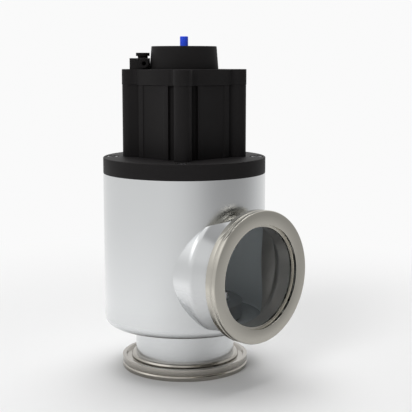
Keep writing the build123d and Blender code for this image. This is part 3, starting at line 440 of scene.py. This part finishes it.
def coil_tree():
    """Coil spring of round wire about Z."""
    tree = Shaping("coil", Turns="Float", Radius="Float", Low="Float", Height="Float",
                   Wire="Float")
    coil = tree.node("GeometryNodeCurveSpiral", None, {
        "Resolution": 48, "Rotations": tree.input("Turns"), "Start Radius": tree.input("Radius"),
        "End Radius": tree.input("Radius"), "Height": tree.input("Height")})
    wire = tree.value("GeometryNodeCurvePrimitiveCircle", 0, None,
                      {"Resolution": 16, "Radius": tree.input("Wire")})
    swept = tree.node("GeometryNodeCurveToMesh", None,
                      {"Curve": Value(tree, coil.outputs[0]), "Profile Curve": wire})
    swept.inputs["Fill Caps"].default_value = True
    lift = tree.joined(0.0, 0.0, tree.input("Low"))
    tree.close(tree.value("GeometryNodeTransform", 0, None,
                          {"Geometry": Value(tree, swept.outputs[0]), "Translation": lift}))
    return tree


turning = turning_tree()
round_axis = ring_tree()
folding = folds_tree()
coiling = coil_tree()


# Shaping tools.

def softened(points, steps=4):
    """Closed outline with rounded corners, from (across, up) or (across, up, radius)."""
    outline = []
    count = len(points)
    for i in range(count):
        here = Vector(points[i][:2])
        radius = points[i][2] if len(points[i]) > 2 else 0
        before = Vector(points[i - 1][:2]) - here
        after = Vector(points[(i + 1) % count][:2]) - here
        if radius <= 0:
            outline.append(tuple(here))
            continue
        angle = before.angle(after)
        reach = radius / tan(angle / 2)
        start = here + before.normalized() * reach
        end = here + after.normalized() * reach
        middle = here + (before.normalized() + after.normalized()).normalized() * (
            radius / sin(angle / 2))
        first = atan2(start.y - middle.y, start.x - middle.x)
        turn = atan2(end.y - middle.y, end.x - middle.x) - first
        turn = (turn + pi) % (2 * pi) - pi
        for k in range(steps + 1):
            a = first + turn * k / steps
            outline.append((middle.x + radius * cos(a), middle.y + radius * sin(a)))
    return outline


def smoothed(piece, angle=32):
    """Merges what touches, points the faces outwards and keeps only true edges sharp."""
    work = bmesh.new()
    work.from_mesh(piece.data)
    bmesh.ops.remove_doubles(work, verts=work.verts, dist=1e-6)
    bmesh.ops.dissolve_degenerate(work, edges=work.edges, dist=1e-7)
    bmesh.ops.recalc_face_normals(work, faces=work.faces)
    work.to_mesh(piece.data)
    work.free()
    piece.data.shade_smooth()
    piece.data.set_sharp_from_angle(angle=radians(angle))
    return piece


def turned(name, points, finish, sides=192, steps=4):
    """Piece turned about Z from a closed outline of (radius, height, corner radius)."""
    outline = softened(points, steps)
    mesh = bpy.data.meshes.new(name + "_section")
    count = len(outline)
    mesh.from_pydata([(r * MM - LATHE_R, -z * MM, 0) for r, z in outline],
                     [(i, (i + 1) % count) for i in range(count)], [])
    return smoothed(turning.run(name, mesh, finish, Sides=sides))


def drawn_up(name, outline, low, high, finish, edge=0.0):
    """Prism from an outline of (x, y), with its end edges rounded."""
    work = bmesh.new()
    bottom = [work.verts.new((x * MM, y * MM, low * MM)) for x, y in outline]
    top = [work.verts.new((x * MM, y * MM, high * MM)) for x, y in outline]
    work.faces.new(bottom[::-1])
    work.faces.new(top)
    for i in range(len(outline)):
        j = (i + 1) % len(outline)
        work.faces.new((bottom[i], bottom[j], top[j], top[i]))
    mesh = bpy.data.meshes.new(name)
    work.to_mesh(mesh)
    work.free()
    mesh.materials.append(finishes[finish])
    piece = smoothed(added(name, mesh))
    if edge:
        bevel = piece.modifiers.new("edge", "BEVEL")
        bevel.width = edge * MM
        bevel.segments = 3
        bevel.limit_method = "ANGLE"
        bevel.angle_limit = radians(50)
        bevel.use_clamp_overlap = False
        settled(piece)
    return piece


def settled(piece, angle=32):
    """Turns a piece and its modifiers into one plain mesh."""
    graph = bpy.context.evaluated_depsgraph_get()
    mesh = bpy.data.meshes.new_from_object(piece.evaluated_get(graph))
    piece.modifiers.clear()
    piece.data = mesh
    return smoothed(piece, angle)


def combined(piece, others, operation, angle=32):
    """Cuts other pieces from this one, or joins them to it, and removes them."""
    for other in others:
        boolean = piece.modifiers.new("with_" + other.name, "BOOLEAN")
        boolean.operation = operation
        boolean.solver = "EXACT"
        boolean.object = other
    settled(piece, angle)
    for other in others:
        bpy.data.objects.remove(other)
    return piece


def lined(piece, finish, side=False, low=None):
    """Gives the faces inside a hollow piece a finish of their own, and its floor another. The inside
    finishes are lighter copies of the steel (painted light), the floor's a darker copy (painted
    shade).
    """
    piece.data.materials.append(finishes[finish])
    last = len(piece.data.materials) - 1
    if low:
        piece.data.materials.append(finishes[low])
    for face in piece.data.polygons:
        x, y, z = face.center
        out = Vector((0, y, z - AXIS_Z * MM)) if side else Vector((x, y, 0))
        floor = not side and face.normal.z > 0.5 and z < (FLOOR_Z + 8) * MM
        if floor and low:
            face.material_index = last + 1
        elif floor or face.normal.dot(out) < -0.3 * out.length:
            face.material_index = last
    return piece


def eased_saddle(piece, width):
    """Rounds the edge where the outlet's inside opens into the body."""
    work = bmesh.new()
    work.from_mesh(piece.data)
    edges = []
    for edge in work.edges:
        if len(edge.link_faces) != 2:
            continue
        x, y, z = (edge.verts[0].co + edge.verts[1].co) / 2
        if abs(hypot(x, y) - BODY_IN_R * MM) > 0.2 * MM:
            continue
        to_body = Vector((x, y, 0)).normalized()
        to_side = Vector((0, y, z - AXIS_Z * MM)).normalized()
        cut = [f for f in edge.link_faces if f.normal.dot(to_body) < -0.9]
        inside = [f for f in edge.link_faces if f.normal.dot(to_side) < -0.3 and f not in cut]
        if cut and inside:
            edges.append(edge)
    bmesh.ops.bevel(work, geom=edges, offset=width * MM, segments=3, affect="EDGES",
                    profile=0.5, clamp_overlap=True)
    work.to_mesh(piece.data)
    work.free()
    return smoothed(piece)


def put(piece, matrix):
    """Moves a piece's mesh, so that its object stays at the origin."""
    piece.data.transform(matrix)
    return piece


def shifted(x, y, z):
    """Move by millimetres."""
    return Matrix.Translation((x * MM, y * MM, z * MM))


def spun(degrees, axis="Z"):
    return Matrix.Rotation(radians(degrees), 4, axis)


def around(angle, radius):
    """Place at an angle and a radius round the valve's axis."""
    return spun(angle) @ shifted(radius, 0, 0)


ALONG_SIDE = shifted(FACE_X, 0, AXIS_Z) @ spun(-90, "Y")


def at_block(out, side, z):
    """Place on the cap, out along the far left post and sideways to its front."""
    x = cos(radians(225))
    y = sin(radians(225))
    return shifted(out * x - side * y, out * y + side * x, z) @ spun(225)


def at_fitting(side):
    """Place on the fitting's axis, sideways from the block's middle."""
    return at_block(FITTING_OUT, side, CAP_TOP + FITTING_RISE) @ spun(-90, "X")


def hole(name, radius, low, high, mouth=0.0):
    """Round cutter about Z, with a small countersink where it opens at the top."""
    points = [(0, low), (radius, low), (radius, high - mouth)]
    if mouth:
        points.append((radius + 2 * mouth, high + mouth))
    else:
        points.append((radius, high))
    points.append((0, points[-1][1]))
    return turned(name, points, "bright", 64)


def goes(piece, body, slot, *nodes):
    """Sets a piece on its body and hides the nodes it stands for. Its slot, the record's finish, is
    not used.
    """
    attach(piece, body)
    if nodes:
        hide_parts(*nodes)
    return piece


# Steel body.

def outlet_points(inset, back):
    """Outline of the side outlet's outside or inside, from its flange to the body's middle."""
    slope = atan2(OUTLET_R - TUBE_R, CONE_END - CONE_START)
    shift = inset * tan(slope / 2)
    return [(TUBE_R - inset, OUTLET_START), (TUBE_R - inset, CONE_START + shift, 7 + inset),
            (OUTLET_R - inset, CONE_END + shift, 9 - inset), (OUTLET_R - inset, back)]


def outlet_block():
    """The side outlet's outside as a solid, which cuts its way into the body."""
    points = [(0, OUTLET_START)] + outlet_points(0, OUTLET_END) + [(0, OUTLET_END)]
    return put(turned("outlet_block", points, "outlet", 256, 14), ALONG_SIDE)


def steel_body():
    shell = turned("drawn_shell", [
        (TUBE_R, BODY_Z), (BODY_R, BODY_Z, 8), (BODY_R, BODY_TOP, 0.3), (BODY_IN_R, BODY_TOP, 0.3),
        (BODY_IN_R, FLOOR_Z, 6), (TUBE_R, FLOOR_Z)], "shell", 288, 8)
    combined(shell, [outlet_block()], "DIFFERENCE")
    # Inside walls get the lighter copy of the steel (painted light), the floor the darker copy
    # (painted shade).
    lined(shell, "inner", low="inner_floor_painted_shade")
    goes(shell, "valve_body", "satin_steel", "body_shell")

    inside = outlet_points(OUTLET_WALL, OUTLET_END + OUTLET_WALL)
    outside = outlet_points(0, OUTLET_END)
    outlet = put(turned("spun_outlet", outside + inside[::-1], "outlet", 256, 14), ALONG_SIDE)
    combined(outlet, [hole("body_space", BODY_IN_R, 0, BODY_TOP)], "DIFFERENCE")
    eased_saddle(outlet, 0.9)
    # The outlet's inside gets the lighter, warmer copy of its steel: painted light.
    lined(outlet, "inner_side", side=True)
    goes(outlet, "valve_body", "satin_steel", "side_outlet")

    neck = turned("neck_tube", [
        (BORE_R, TUBE_START), (TUBE_R, TUBE_START), (TUBE_R, FLOOR_Z), (BORE_R, FLOOR_Z)],
        "shell", 192)
    # The neck's inside gets the lighter copy of the steel: painted light.
    lined(neck, "inner")
    goes(neck, "valve_body", "satin_steel", "lower_neck")
    tube = put(turned("side_tube", [
        (BORE_R, TUBE_START), (TUBE_R, TUBE_START), (TUBE_R, OUTLET_START),
        (BORE_R, OUTLET_START)], "outlet", 256), ALONG_SIDE)
    # The tube's inside gets the lighter, warmer copy of its steel: painted light.
    lined(tube, "inner_side", side=True)
    goes(tube, "valve_body", "satin_steel", "side_neck")

    seat = turned("seat_turning", [
        (BORE_R, FLOOR_Z), (57, FLOOR_Z), (57, 52.3, 0.7), (BORE_R, 52.3, 0.7)], "flange", 192)
    goes(seat, "valve_body", "flange_steel", "seat_ring")


# Section of both clamp flanges: radius, depth behind the face and corner radius.
FLANGE = [
    (BORE_R, 4.5, 0.15), (51, 4.5, 0.2), (51, 0, 0.35), (64.3, 0, 0.3), (65, 0.8, 0.3),
    (65, 3.8, 0.2), (63.7, 5.1, 0.3), (65, 6.4, 0.2), (65, 12, 0.4), (61.2, 12, 0.3),
    (59.9, 9.4, 0.4), (55.4, 9.4, 0.4), (55.4, 12, 0.3), (54.3, 13.65, 0.3), (53, 14.2, 0.3),
    (TUBE_R, 14.2), (TUBE_R, TUBE_START), (BORE_R, TUBE_START)]


def flanges():
    # The lower flange gets a darker copy of the flange steel: painted shade.
    lower = turned("lower_clamp_flange", FLANGE, "low_flange_painted_shade", 256)
    goes(lower, "valve_body", "flange_steel", "lower_flange")
    side = put(turned("side_clamp_flange", FLANGE, "side_flange", 256), ALONG_SIDE)
    goes(side, "valve_body", "flange_steel", "side_flange")


# Bonnet and fasteners.

def cap_screw(name, radius, length, head_r, head_h, socket_r, finish):
    """Socket-head screw along -Z with its head's seat at z = 0."""
    screw = turned(name, [
        (0, -length), (radius * 0.85, -length), (radius, -length + radius * 0.3), (radius, 0),
        (head_r, 0, 0.15), (head_r, head_h, 0.12 * head_r), (0, head_h)], finish, 64)
    corner = 2 * socket_r / sqrt(3)
    hexagon = [(corner * cos(radians(60 * i)), corner * sin(radians(60 * i))) for i in range(6)]
    socket = drawn_up("socket", hexagon, 0.4 * head_h, head_h + 1, finish)
    return combined(screw, [socket], "DIFFERENCE")


def ring_of(name, screw, radius, height, finish):
    """Four like screws round the axis as one piece, the first at 45 degrees."""
    mesh = screw.data.copy()
    bpy.data.objects.remove(screw)
    made = round_axis.run(name, mesh, finish, Count=len(POST_ANGLES), Radius=radius * MM,
                          Start=radians(POST_ANGLES[0]), Height=height * MM)
    return smoothed(made)


def bonnet():
    plate = turned("bonnet_disc", [
        (15, 212.3), (15, 216.3), (11, 216.3), (11, BONNET_TOP, 0.3), (BODY_R, BONNET_TOP, 0.9),
        (BODY_R, BODY_TOP, 0.5), (61.3, BODY_TOP), (61.3, 198, 0.3), (14, 198), (14, 208),
        (11, 208), (11, 212.3)], "anodised", 256)
    cutters = []
    for angle in POST_ANGLES:
        place = around(angle, BONNET_BOLT_R)
        cutters.append(put(hole("sunk", 7, BONNET_SEAT_Z, BONNET_TOP, 0.35), place))
        cutters.append(put(hole("through", 4.5, 197, 210), place))
        cutters.append(put(hole("tapped", 3.05, 206.8, 219), around(angle, POST_AT)))
        cutters.append(put(hole("low_tap", 2.05, 197, 206), around(angle - 45, BELLOWS_SCREW_R)))
    combined(plate, cutters, "DIFFERENCE")
    goes(plate, "valve_body", "black_anodised", "bonnet_plate")

    screw = cap_screw("bonnet_screw", 4, 16, 6.5, 8, 3.4, "screw")
    bolts = ring_of("bonnet_cap_screws", screw, BONNET_BOLT_R, BONNET_SEAT_Z, "screw")
    goes(bolts, "valve_body", "screw_steel", "bonnet_bolts")


# Air cylinder.

def round_four(half):
    """Whole outline from half of one post's outline, drawn from the tip to mid-flat."""
    mirrored = [(x, -y) for x, y in half[::-1]]
    post = mirrored[:-1] + half
    outline = []
    for angle in POST_ANGLES:
        c = cos(radians(angle))
        s = sin(radians(angle))
        outline += [(x * c - y * s, x * s + y * c) for x, y in post]
    kept = [p for i, p in enumerate(outline)
            if hypot(p[0] - outline[i - 1][0], p[1] - outline[i - 1][1]) > 0.02]
    return kept


def arc(x, y, radius, first, last, steps):
    """Points of an arc round (x, y), with its angles in degrees."""
    return [(x + radius * cos(radians(first + (last - first) * i / steps)),
             y + radius * sin(radians(first + (last - first) * i / steps)))
            for i in range(steps + 1)]


def barrel_outline(post_r=8.6, flat=42.3, deep=3.6):
    """Flats with sunk panels, round posts and the flute on each side of a post."""
    flat_x = (flat + FLAT_HALF) / sqrt(2)
    flat_y = (flat - FLAT_HALF) / sqrt(2)
    flute_r = (flat_y - post_r) / 2
    flute_x = flat_x - deep + flute_r
    side = arc(POST_AT, 0, post_r, 0, 90, 20)
    side += arc(flute_x, post_r + flute_r, flute_r, 270, 90, 16)
    side.append((flat_x, flat_y))
    for along, sunk in ((PANEL_HALF, 0.0), (PANEL_HALF, PANEL_SINK), (0.01, PANEL_SINK)):
        out = flat - sunk
        side.append(((out + along) / sqrt(2), (out - along) / sqrt(2)))
    return round_four(side)


def cap_outline(post_r=8.85, flat=42.55, soften=5.0):
    """Flats and round posts with softened corners between them."""
    flat_x = (flat + FLAT_HALF) / sqrt(2)
    flat_y = (flat - FLAT_HALF) / sqrt(2)
    core = hypot(flat_x, flat_y)
    mid_y = post_r + soften
    mid_x = sqrt((core + soften)**2 - mid_y**2)
    lean = atan2(mid_y, mid_x)
    side = arc(POST_AT, 0, post_r, 0, 90, 20)
    side += arc(mid_x, mid_y, soften, 270, 180 + lean * 180 / pi, 12)
    side += [(flat_x, flat_y), (flat / sqrt(2) + 0.01, flat / sqrt(2) - 0.01)]
    return round_four(side)


def cylinder_barrel():
    barrel = drawn_up("extruded_barrel", barrel_outline(), BONNET_TOP, BARREL_TOP, "anodised", 0.35)
    cutters = [hole("bore", CYLINDER_R, BONNET_TOP - 1, BARREL_TOP + 1)]
    for angle in POST_ANGLES:
        cutters.append(put(hole("bolt_way", TIE_WAY_R, BONNET_TOP - 1, BARREL_TOP + 1),
                           around(angle, POST_AT)))
    seal_groove = turned("seal_groove", [
        (37.7, BONNET_TOP - 1), (40.1, BONNET_TOP - 1), (40.1, 219.6), (37.7, 219.6)], "bright", 128)
    cutters.append(seal_groove)
    cutters.append(put(hole("air_way", AIR_R, 219.9, BARREL_TOP + 1),
                       at_block(AIR_OUT, AIR_SIDE, 0)))
    cutters.append(put(hole("cross_way", AIR_CROSS_R, 0, AIR_OUT),
                       at_block(0, AIR_SIDE, AIR_CROSS_Z) @ spun(90, "Y")))
    combined(barrel, cutters, "DIFFERENCE")
    goes(barrel, "valve_body", "black_anodised", "cylinder_barrel")


def cylinder_cap():
    cap = drawn_up("cylinder_cap", cap_outline(), BARREL_TOP, CAP_TOP, "anodised", 0.6)
    spigot = turned("spigot", [
        (DOME_IN_R, 286.1), (36.4, 286.1, 0.3), (36.4, 286.9), (34.6, 286.9), (34.6, 289.3),
        (36.4, 289.3), (36.4, 291), (DOME_IN_R, 291)], "anodised", 192)
    combined(cap, [hole("open_middle", DOME_IN_R, 280, 310)], "DIFFERENCE")
    combined(cap, [spigot], "UNION")
    cutters = [hole("dome_seat", DOME_THREAD_R, DOME_FOOT_Z, 310)]
    for angle in POST_ANGLES:
        place = around(angle, POST_AT)
        cutters.append(put(hole("sunk", 5.5, CAP_SEAT_Z, CAP_TOP, 0.3), place))
        cutters.append(put(hole("through", TIE_WAY_R, 289, 299), place))
    cutters.append(put(hole("air_way", AIR_R, 285, 310), at_block(AIR_OUT, AIR_SIDE, 0)))
    cutters.append(put(hole("vent_way", VENT_R, VENT_CAP_Z, 310),
                       at_block(VENT_CAP_OUT, VENT_SIDE, 0)))
    cutters.append(put(hole("vent_cross", VENT_R, 0, 10.65),
                       at_block(VENT_CAP_OUT, VENT_SIDE, VENT_CAP_Z) @ spun(-90, "Y")))
    for side in BLOCK_SCREW_SIDES:
        cutters.append(put(hole("tapped", 1.3, 297.8, 310), at_block(BLOCK_SCREW_OUT, side, 0)))
    combined(cap, cutters, "DIFFERENCE")
    goes(cap, "valve_body", "black_anodised", "cap")

    screw = cap_screw("cap_screw", 3, 90, 5, 6, 2.5, "black_screw")
    bolts = ring_of("tie_screws", screw, POST_AT, CAP_SEAT_Z, "black_screw")
    goes(bolts, "valve_body", "black_screws", "tie_bolts")


def spring_housing():
    dome = turned("spring_dome", [
        (DOME_IN_R, DOME_FOOT_Z), (DOME_THREAD_R, DOME_FOOT_Z), (DOME_THREAD_R, CAP_TOP),
        (34.6, CAP_TOP, 0.3), (32.75, DOME_TOP, 0.6), (6, DOME_TOP, 0.3), (6, DOME_ROOF),
        (DOME_IN_R, DOME_ROOF, 0.5)], "moulded", 256)
    goes(dome, "valve_body", "black_plastic", "dome_cover")

    bush = turned("pin_bush", [
        (4.13, 321.5), (6, 321.5), (6, DOME_TOP, 0.2), (4.13, DOME_TOP, 0.3)], "rubber", 96)
    goes(bush, "valve_body", "black_plastic", "indicator_bush")

    spring = coiling.run("coil_spring", bpy.data.meshes.new("empty"), "spring", Turns=6.0,
                         Radius=0.026, Low=0.2399, Height=0.0825, Wire=0.0025)
    smoothed(spring, 50)
    goes(spring, "valve_body", "spring_steel", "closing_spring")
    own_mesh(spring)


# Air connection.

def air_connection():
    block = drawn_up("air_block", softened([
        (34.7, -BLOCK_HALF_W, 0.8), (54.3, -BLOCK_HALF_W, 0.8), (54.3, BLOCK_HALF_W, 0.8),
        (34.7, BLOCK_HALF_W, 0.8)]), 0, BLOCK_H, "moulded", 0.4)
    put(block, at_block(0, 0, CAP_TOP))
    vent_place = at_block(VENT_OUT, VENT_SIDE, CAP_TOP)
    cutters = [put(hole("air_way", AIR_R, -1, 7.7), at_block(AIR_OUT, AIR_SIDE, CAP_TOP)),
               put(hole("mouth", 2.6, 0, 8), at_fitting(2.5)),
               put(hole("vent_way", VENT_R, -1, 12), vent_place),
               put(hole("vent_seat", 2.4, 7.4, 12), vent_place)]
    for side in BLOCK_SCREW_SIDES:
        place = at_block(BLOCK_SCREW_OUT, side, CAP_TOP)
        cutters.append(put(hole("screw_way", 1.5, -1, 12), place))
        cutters.append(put(hole("sunk", 2.45, 8.9, BLOCK_H, 0.15), place))
    combined(block, cutters, "DIFFERENCE")
    goes(block, "valve_body", "black_plastic", "port_block")

    for number, side in enumerate(BLOCK_SCREW_SIDES):
        screw = cap_screw(f"block_screw_{number + 1}", 1.25, 14.9, 2.2, 1.8, 1.25, "black_screw")
        put(screw, at_block(BLOCK_SCREW_OUT, side, BLOCK_TOP - 2))
        goes(screw, "valve_body", "black_screws", "block_screws")

    fitting = turned("push_fitting", [
        (2, -4), (2.6, -4), (2.6, 0), (5.4, 0, 0.2), (5.4, 8, 0.6), (3.63, 8, 0.2),
        (3.63, 2), (2, 2)], "fitting", 96)
    put(fitting, at_fitting(BLOCK_HALF_W))
    goes(fitting, "valve_body", "black_plastic", "air_fitting")

    collar = turned("push_collar", [
        (2.05, 3.1), (3.6, 3.1), (3.6, 9.06), (4.4, 9.06, 0.15), (4.4, 9.6, 0.2), (2.05, 9.6, 0.3)],
        "fitting", 96)
    put(collar, at_fitting(BLOCK_HALF_W))
    goes(collar, "release_collar", "black_plastic", "release_collar")

    vent = turned("mushroom_vent", [
        (0, 2.6), (1.2, 2.6), (1.2, -3.5), (2.4, -3.5), (2.4, 0), (5.1, 0), (5.1, 2.1),
        (6.9, 2.1, 0.15), (6.9, 5.4, 0.25), (0, 5.4)], "fitting", 96)
    put(vent, at_block(VENT_SEEN_OUT, VENT_SIDE, BLOCK_TOP))
    goes(vent, "valve_body", "black_plastic", "breather_vent")


# Moving group.

def moving_group():
    plate = turned("shut_off_plate", [
        (0, 57.5), (40, 57.5, 0.5), (44, PLATE_Z, 0.3), (51, PLATE_Z, 0.15), (50.4, 55.9),
        (55.6, 55.9), (55, PLATE_Z, 0.15), (60, PLATE_Z, 0.8), (60, PLATE_TOP, 0.8),
        (0, PLATE_TOP)], "plate", 256)
    taps = [put(hole("tapped", 2.05, 60.5, 70), around(angle, PLATE_SCREW_R))
            for angle in POST_ANGLES]
    combined(plate, taps, "DIFFERENCE")
    goes(plate, "moving_group", "satin_steel", "valve_plate")

    seal = turned("plate_ring_seal", [
        (51, 52.5, 0.8), (55, 52.5, 0.8), (55, 55.9, 0.6), (51, 55.9, 0.6)], "rubber", 192)
    goes(seal, "moving_group", "seal_rubber", "plate_seal")

    foot = turned("bellows_end", [
        (0, PLATE_TOP), (46, PLATE_TOP), (46, FOOT_STEP, 0.5), (37, FOOT_STEP, 0.5),
        (37, FOOT_TOP, 0.4), (8, FOOT_TOP), (8, 70.5), (0, 70.5)], "bright", 192)
    ways = [put(hole("way", 2.25, 68, 73), around(angle, PLATE_SCREW_R)) for angle in POST_ANGLES]
    combined(foot, ways, "DIFFERENCE")
    goes(foot, "moving_group", "satin_steel", "bellows_foot")

    screw = cap_screw("plate_screw", 2, 10, 3.5, 4, 1.7, "screw")
    screws = ring_of("plate_cap_screws", screw, PLATE_SCREW_R, FOOT_STEP, "screw")
    goes(screws, "moving_group", "screw_steel", "plate_screws")

    folds = folding.run("welded_folds", bpy.data.meshes.new("empty"), "folds", Folds=12,
                        Inner=0.0284, Outer=0.0370, Low=FOOT_TOP * MM, High=TOP_RING_Z * MM,
                        Sides=160)
    smoothed(folds, 60)
    goes(folds, "valve_body", "satin_steel", "bellows")
    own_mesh(folds)

    pin = turned("position_pin", [
        (0, 240.3), (2.5, 240.3), (2.5, 248.3), (4.1, 248.3), (4.1, PIN_TOP, 0.6), (0, PIN_TOP)],
        "blue", 96)
    goes(pin, "moving_group", "indicator_blue", "indicator_pin")


NODE_FINISHES = {
    "bonnet_ring": "shell", "bellows_top_ring": "bright", "bellows_top_screws": "screw",
    "guide_bush": "bronze", "stem": "ground", "piston": "aluminium", "piston_nut": "screw",
    "piston_guide_ring": "fitting"}
for node in ("bonnet_seal", "rod_seal", "bellows_top_seal", "barrel_seal", "cap_seal",
             "passage_seals", "piston_seal"):
    NODE_FINISHES[node] = "rubber"


def carried_over():
    """Gives each node that stays its finish."""
    for node, finish in NODE_FINISHES.items():
        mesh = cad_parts[node].data
        mesh.materials.clear()
        mesh.materials.append(finishes[finish])


# Studio.

def studio_floor():
    """Pale floor that holds the soft shadow near the object and fades to the background.

    Mirrored rays see it only close to the object, and the surround beyond.
    """
    mesh = bpy.data.meshes.new("studio_floor")
    mesh.from_pydata([(-30, -30, 0), (30, -30, 0), (30, 30, 0), (-30, 30, 0)], [], [(0, 1, 2, 3)])
    floor = added("studio_floor", mesh)
    paper = Finish("studio_paper", (0.76, 0.76, 0.76), 0.9, 0.0, Specular_IOR_Level=0.0)
    x, y, _ = paper.split(paper.place)
    distance = paper.maths("SQRT", x * x + y * y)
    path = paper.node("ShaderNodeLightPath")
    seen = Value(paper, path.outputs["Is Camera Ray"])
    mirrored = Value(paper, path.outputs["Is Glossy Ray"])
    fade = paper.ramp(distance, [(0.22, 0.0), (0.75, 1.0)], "EASE")
    glow = paper.value("ShaderNodeEmission", 0, None, {"Color": BACKGROUND})
    blend = paper.value("ShaderNodeMixShader", 0, None, {
        "Fac": fade * seen, 1: Value(paper, paper.shader.outputs["BSDF"]), 2: glow})
    far = paper.ramp(distance, [(0.075, 0.0), (0.16, 0.55), (0.30, 1.0)])
    clear = paper.value("ShaderNodeBsdfTransparent", 0)
    whole = paper.value("ShaderNodeMixShader", 0, None, {"Fac": far * mirrored, 1: blend, 2: clear})
    output = next(n for n in paper.tree.nodes if n.type == "OUTPUT_MATERIAL")
    paper.tree.links.new(whole.socket, output.inputs["Surface"])
    mesh.materials.append(paper.material)


def surround():
    """What the valve mirrors: a high window on the left, a darker right and a lighter underside.

    What doesn't mirror gets a dimmer light without the window, and the camera sees near-white.
    """
    world = bpy.data.worlds.new("studio")
    bpy.context.scene.world = world
    world.use_nodes = True
    sky = Recipe(world.node_tree)
    direction = sky.value("ShaderNodeTexCoord", "Generated")
    dark_side = sky.along(direction, DARK_SIDE)
    _, _, up = sky.split(direction)
    side = sky.ramp(dark_side, [(0.0, 0.96), (0.35, 0.89), (0.63, 0.735), (0.80, 0.58),
                                (0.92, 0.475), (1.0, 0.44)])
    above = sky.ramp(0.5 + 0.5 * up, [
        (0.45, 1.0), (0.50, 0.945), (0.58, 0.925), (0.625, 1.01), (0.675, 1.07), (0.775, 1.07),
        (0.875, 1.0), (0.925, 1.12), (1.0, 1.2)])
    below = sky.ramp(0.5 + 0.5 * dark_side, [
        (0.05, 1.30), (0.28, 1.24), (0.385, 1.17), (0.50, 1.06), (0.615, 0.96), (0.72, 0.88),
        (0.82, 0.82), (0.95, 0.80)])
    falling = sky.ramp(-1.0 * up, [(0.14, 0.0), (0.21, 0.36), (0.27, 0.72), (0.42, 1.0)])
    mirrored = sky.mixed(falling, sky.vectors("MULTIPLY", side, above), below)
    across = sky.along(direction, WINDOW_ACROSS)
    facing = sky.along(direction, WINDOW_FACING)
    overhead = sky.along(direction, DARK_OVERHEAD)
    window = (sky.ramp(up, [(0.28, 0.0), (0.35, 0.15), (0.45, 0.45), (0.55, 0.85), (0.62, 1.0),
                            (0.76, 1.0), (0.81, 0.1), (0.90, 0.0)])
              * sky.ramp(0.5 + 0.5 * across, [(0.14, 0.0), (0.29, 1.0), (0.585, 1.0), (0.63, 0.0)])
              * sky.ramp(facing, [(0.0, 0.0), (0.2, 1.0)]))
    gain = (1.0 + 0.85 * window) * (1.0 - 0.42 * sky.ramp(overhead, [(0.925, 0.0), (0.965, 1.0)]))
    mirrored = sky.vectors("MULTIPLY", mirrored, sky.joined(gain, gain, gain))
    soft = sky.vectors("MULTIPLY", side, sky.joined(SOFT_SHARE, SOFT_SHARE, SOFT_SHARE))
    path = sky.node("ShaderNodeLightPath")
    seen, glossy, through = (Value(sky, path.outputs[f"Is {kind} Ray"])
                             for kind in ("Camera", "Glossy", "Transmission"))
    plain = sky.mixed(sky.maths("MAXIMUM", glossy, through), soft, mirrored)
    ground = sky.value("ShaderNodeBackground", 0, None,
                       {"Color": sky.mixed(seen, plain, BACKGROUND), "Strength": 1.0})
    sky.node("ShaderNodeOutputWorld", None, {"Surface": ground})


def lamp(name, kind, toward, **settings):
    """Lamp that shines in one direction."""
    light = bpy.data.lights.new(name, kind)
    for setting, amount in settings.items():
        setattr(light, setting, amount)
    made = added(name, light)
    made.rotation_euler = Vector(toward).to_track_quat("-Z", "Y").to_euler()
    return made


def lamps():
    """Two broad lamps from above and from the left, and a small one inside the side port."""
    lamp("overhead_softbox", "SUN", (0.23, -0.19, -1.0), energy=2.25, angle=radians(48))
    fill = lamp("port_fill", "AREA", (-1.0, 0.05, -0.10), shape="DISK", size=0.07, energy=0.0118)
    fill.location = (0.088, 0, 0.118)
    fill.visible_camera = False
    fill.visible_glossy = False
    key = lamp("left_softbox", "SUN", (-0.22, 0.84, -0.46), energy=1.15, angle=radians(26))
    key.visible_glossy = False


def camera():
    """Camera fitted to the outlines of both flanges in the photo."""
    lens = bpy.data.cameras.new("camera")
    lens.sensor_width = 36
    lens.lens = 87.32
    lens.clip_start = 0.05
    lens.clip_end = 200
    made = added("camera", lens)
    made.location = (0.73779, -0.69883, 0.3157)
    made.rotation_euler = (radians(90 - 8.36), 0, radians(45.31))
    bpy.context.scene.camera = made


steel_body()
flanges()
bonnet()
cylinder_barrel()
cylinder_cap()
spring_housing()
air_connection()
moving_group()
carried_over()
studio_floor()
surround()
lamps()
camera()
bpy.context.scene.view_settings.view_transform = "Standard"
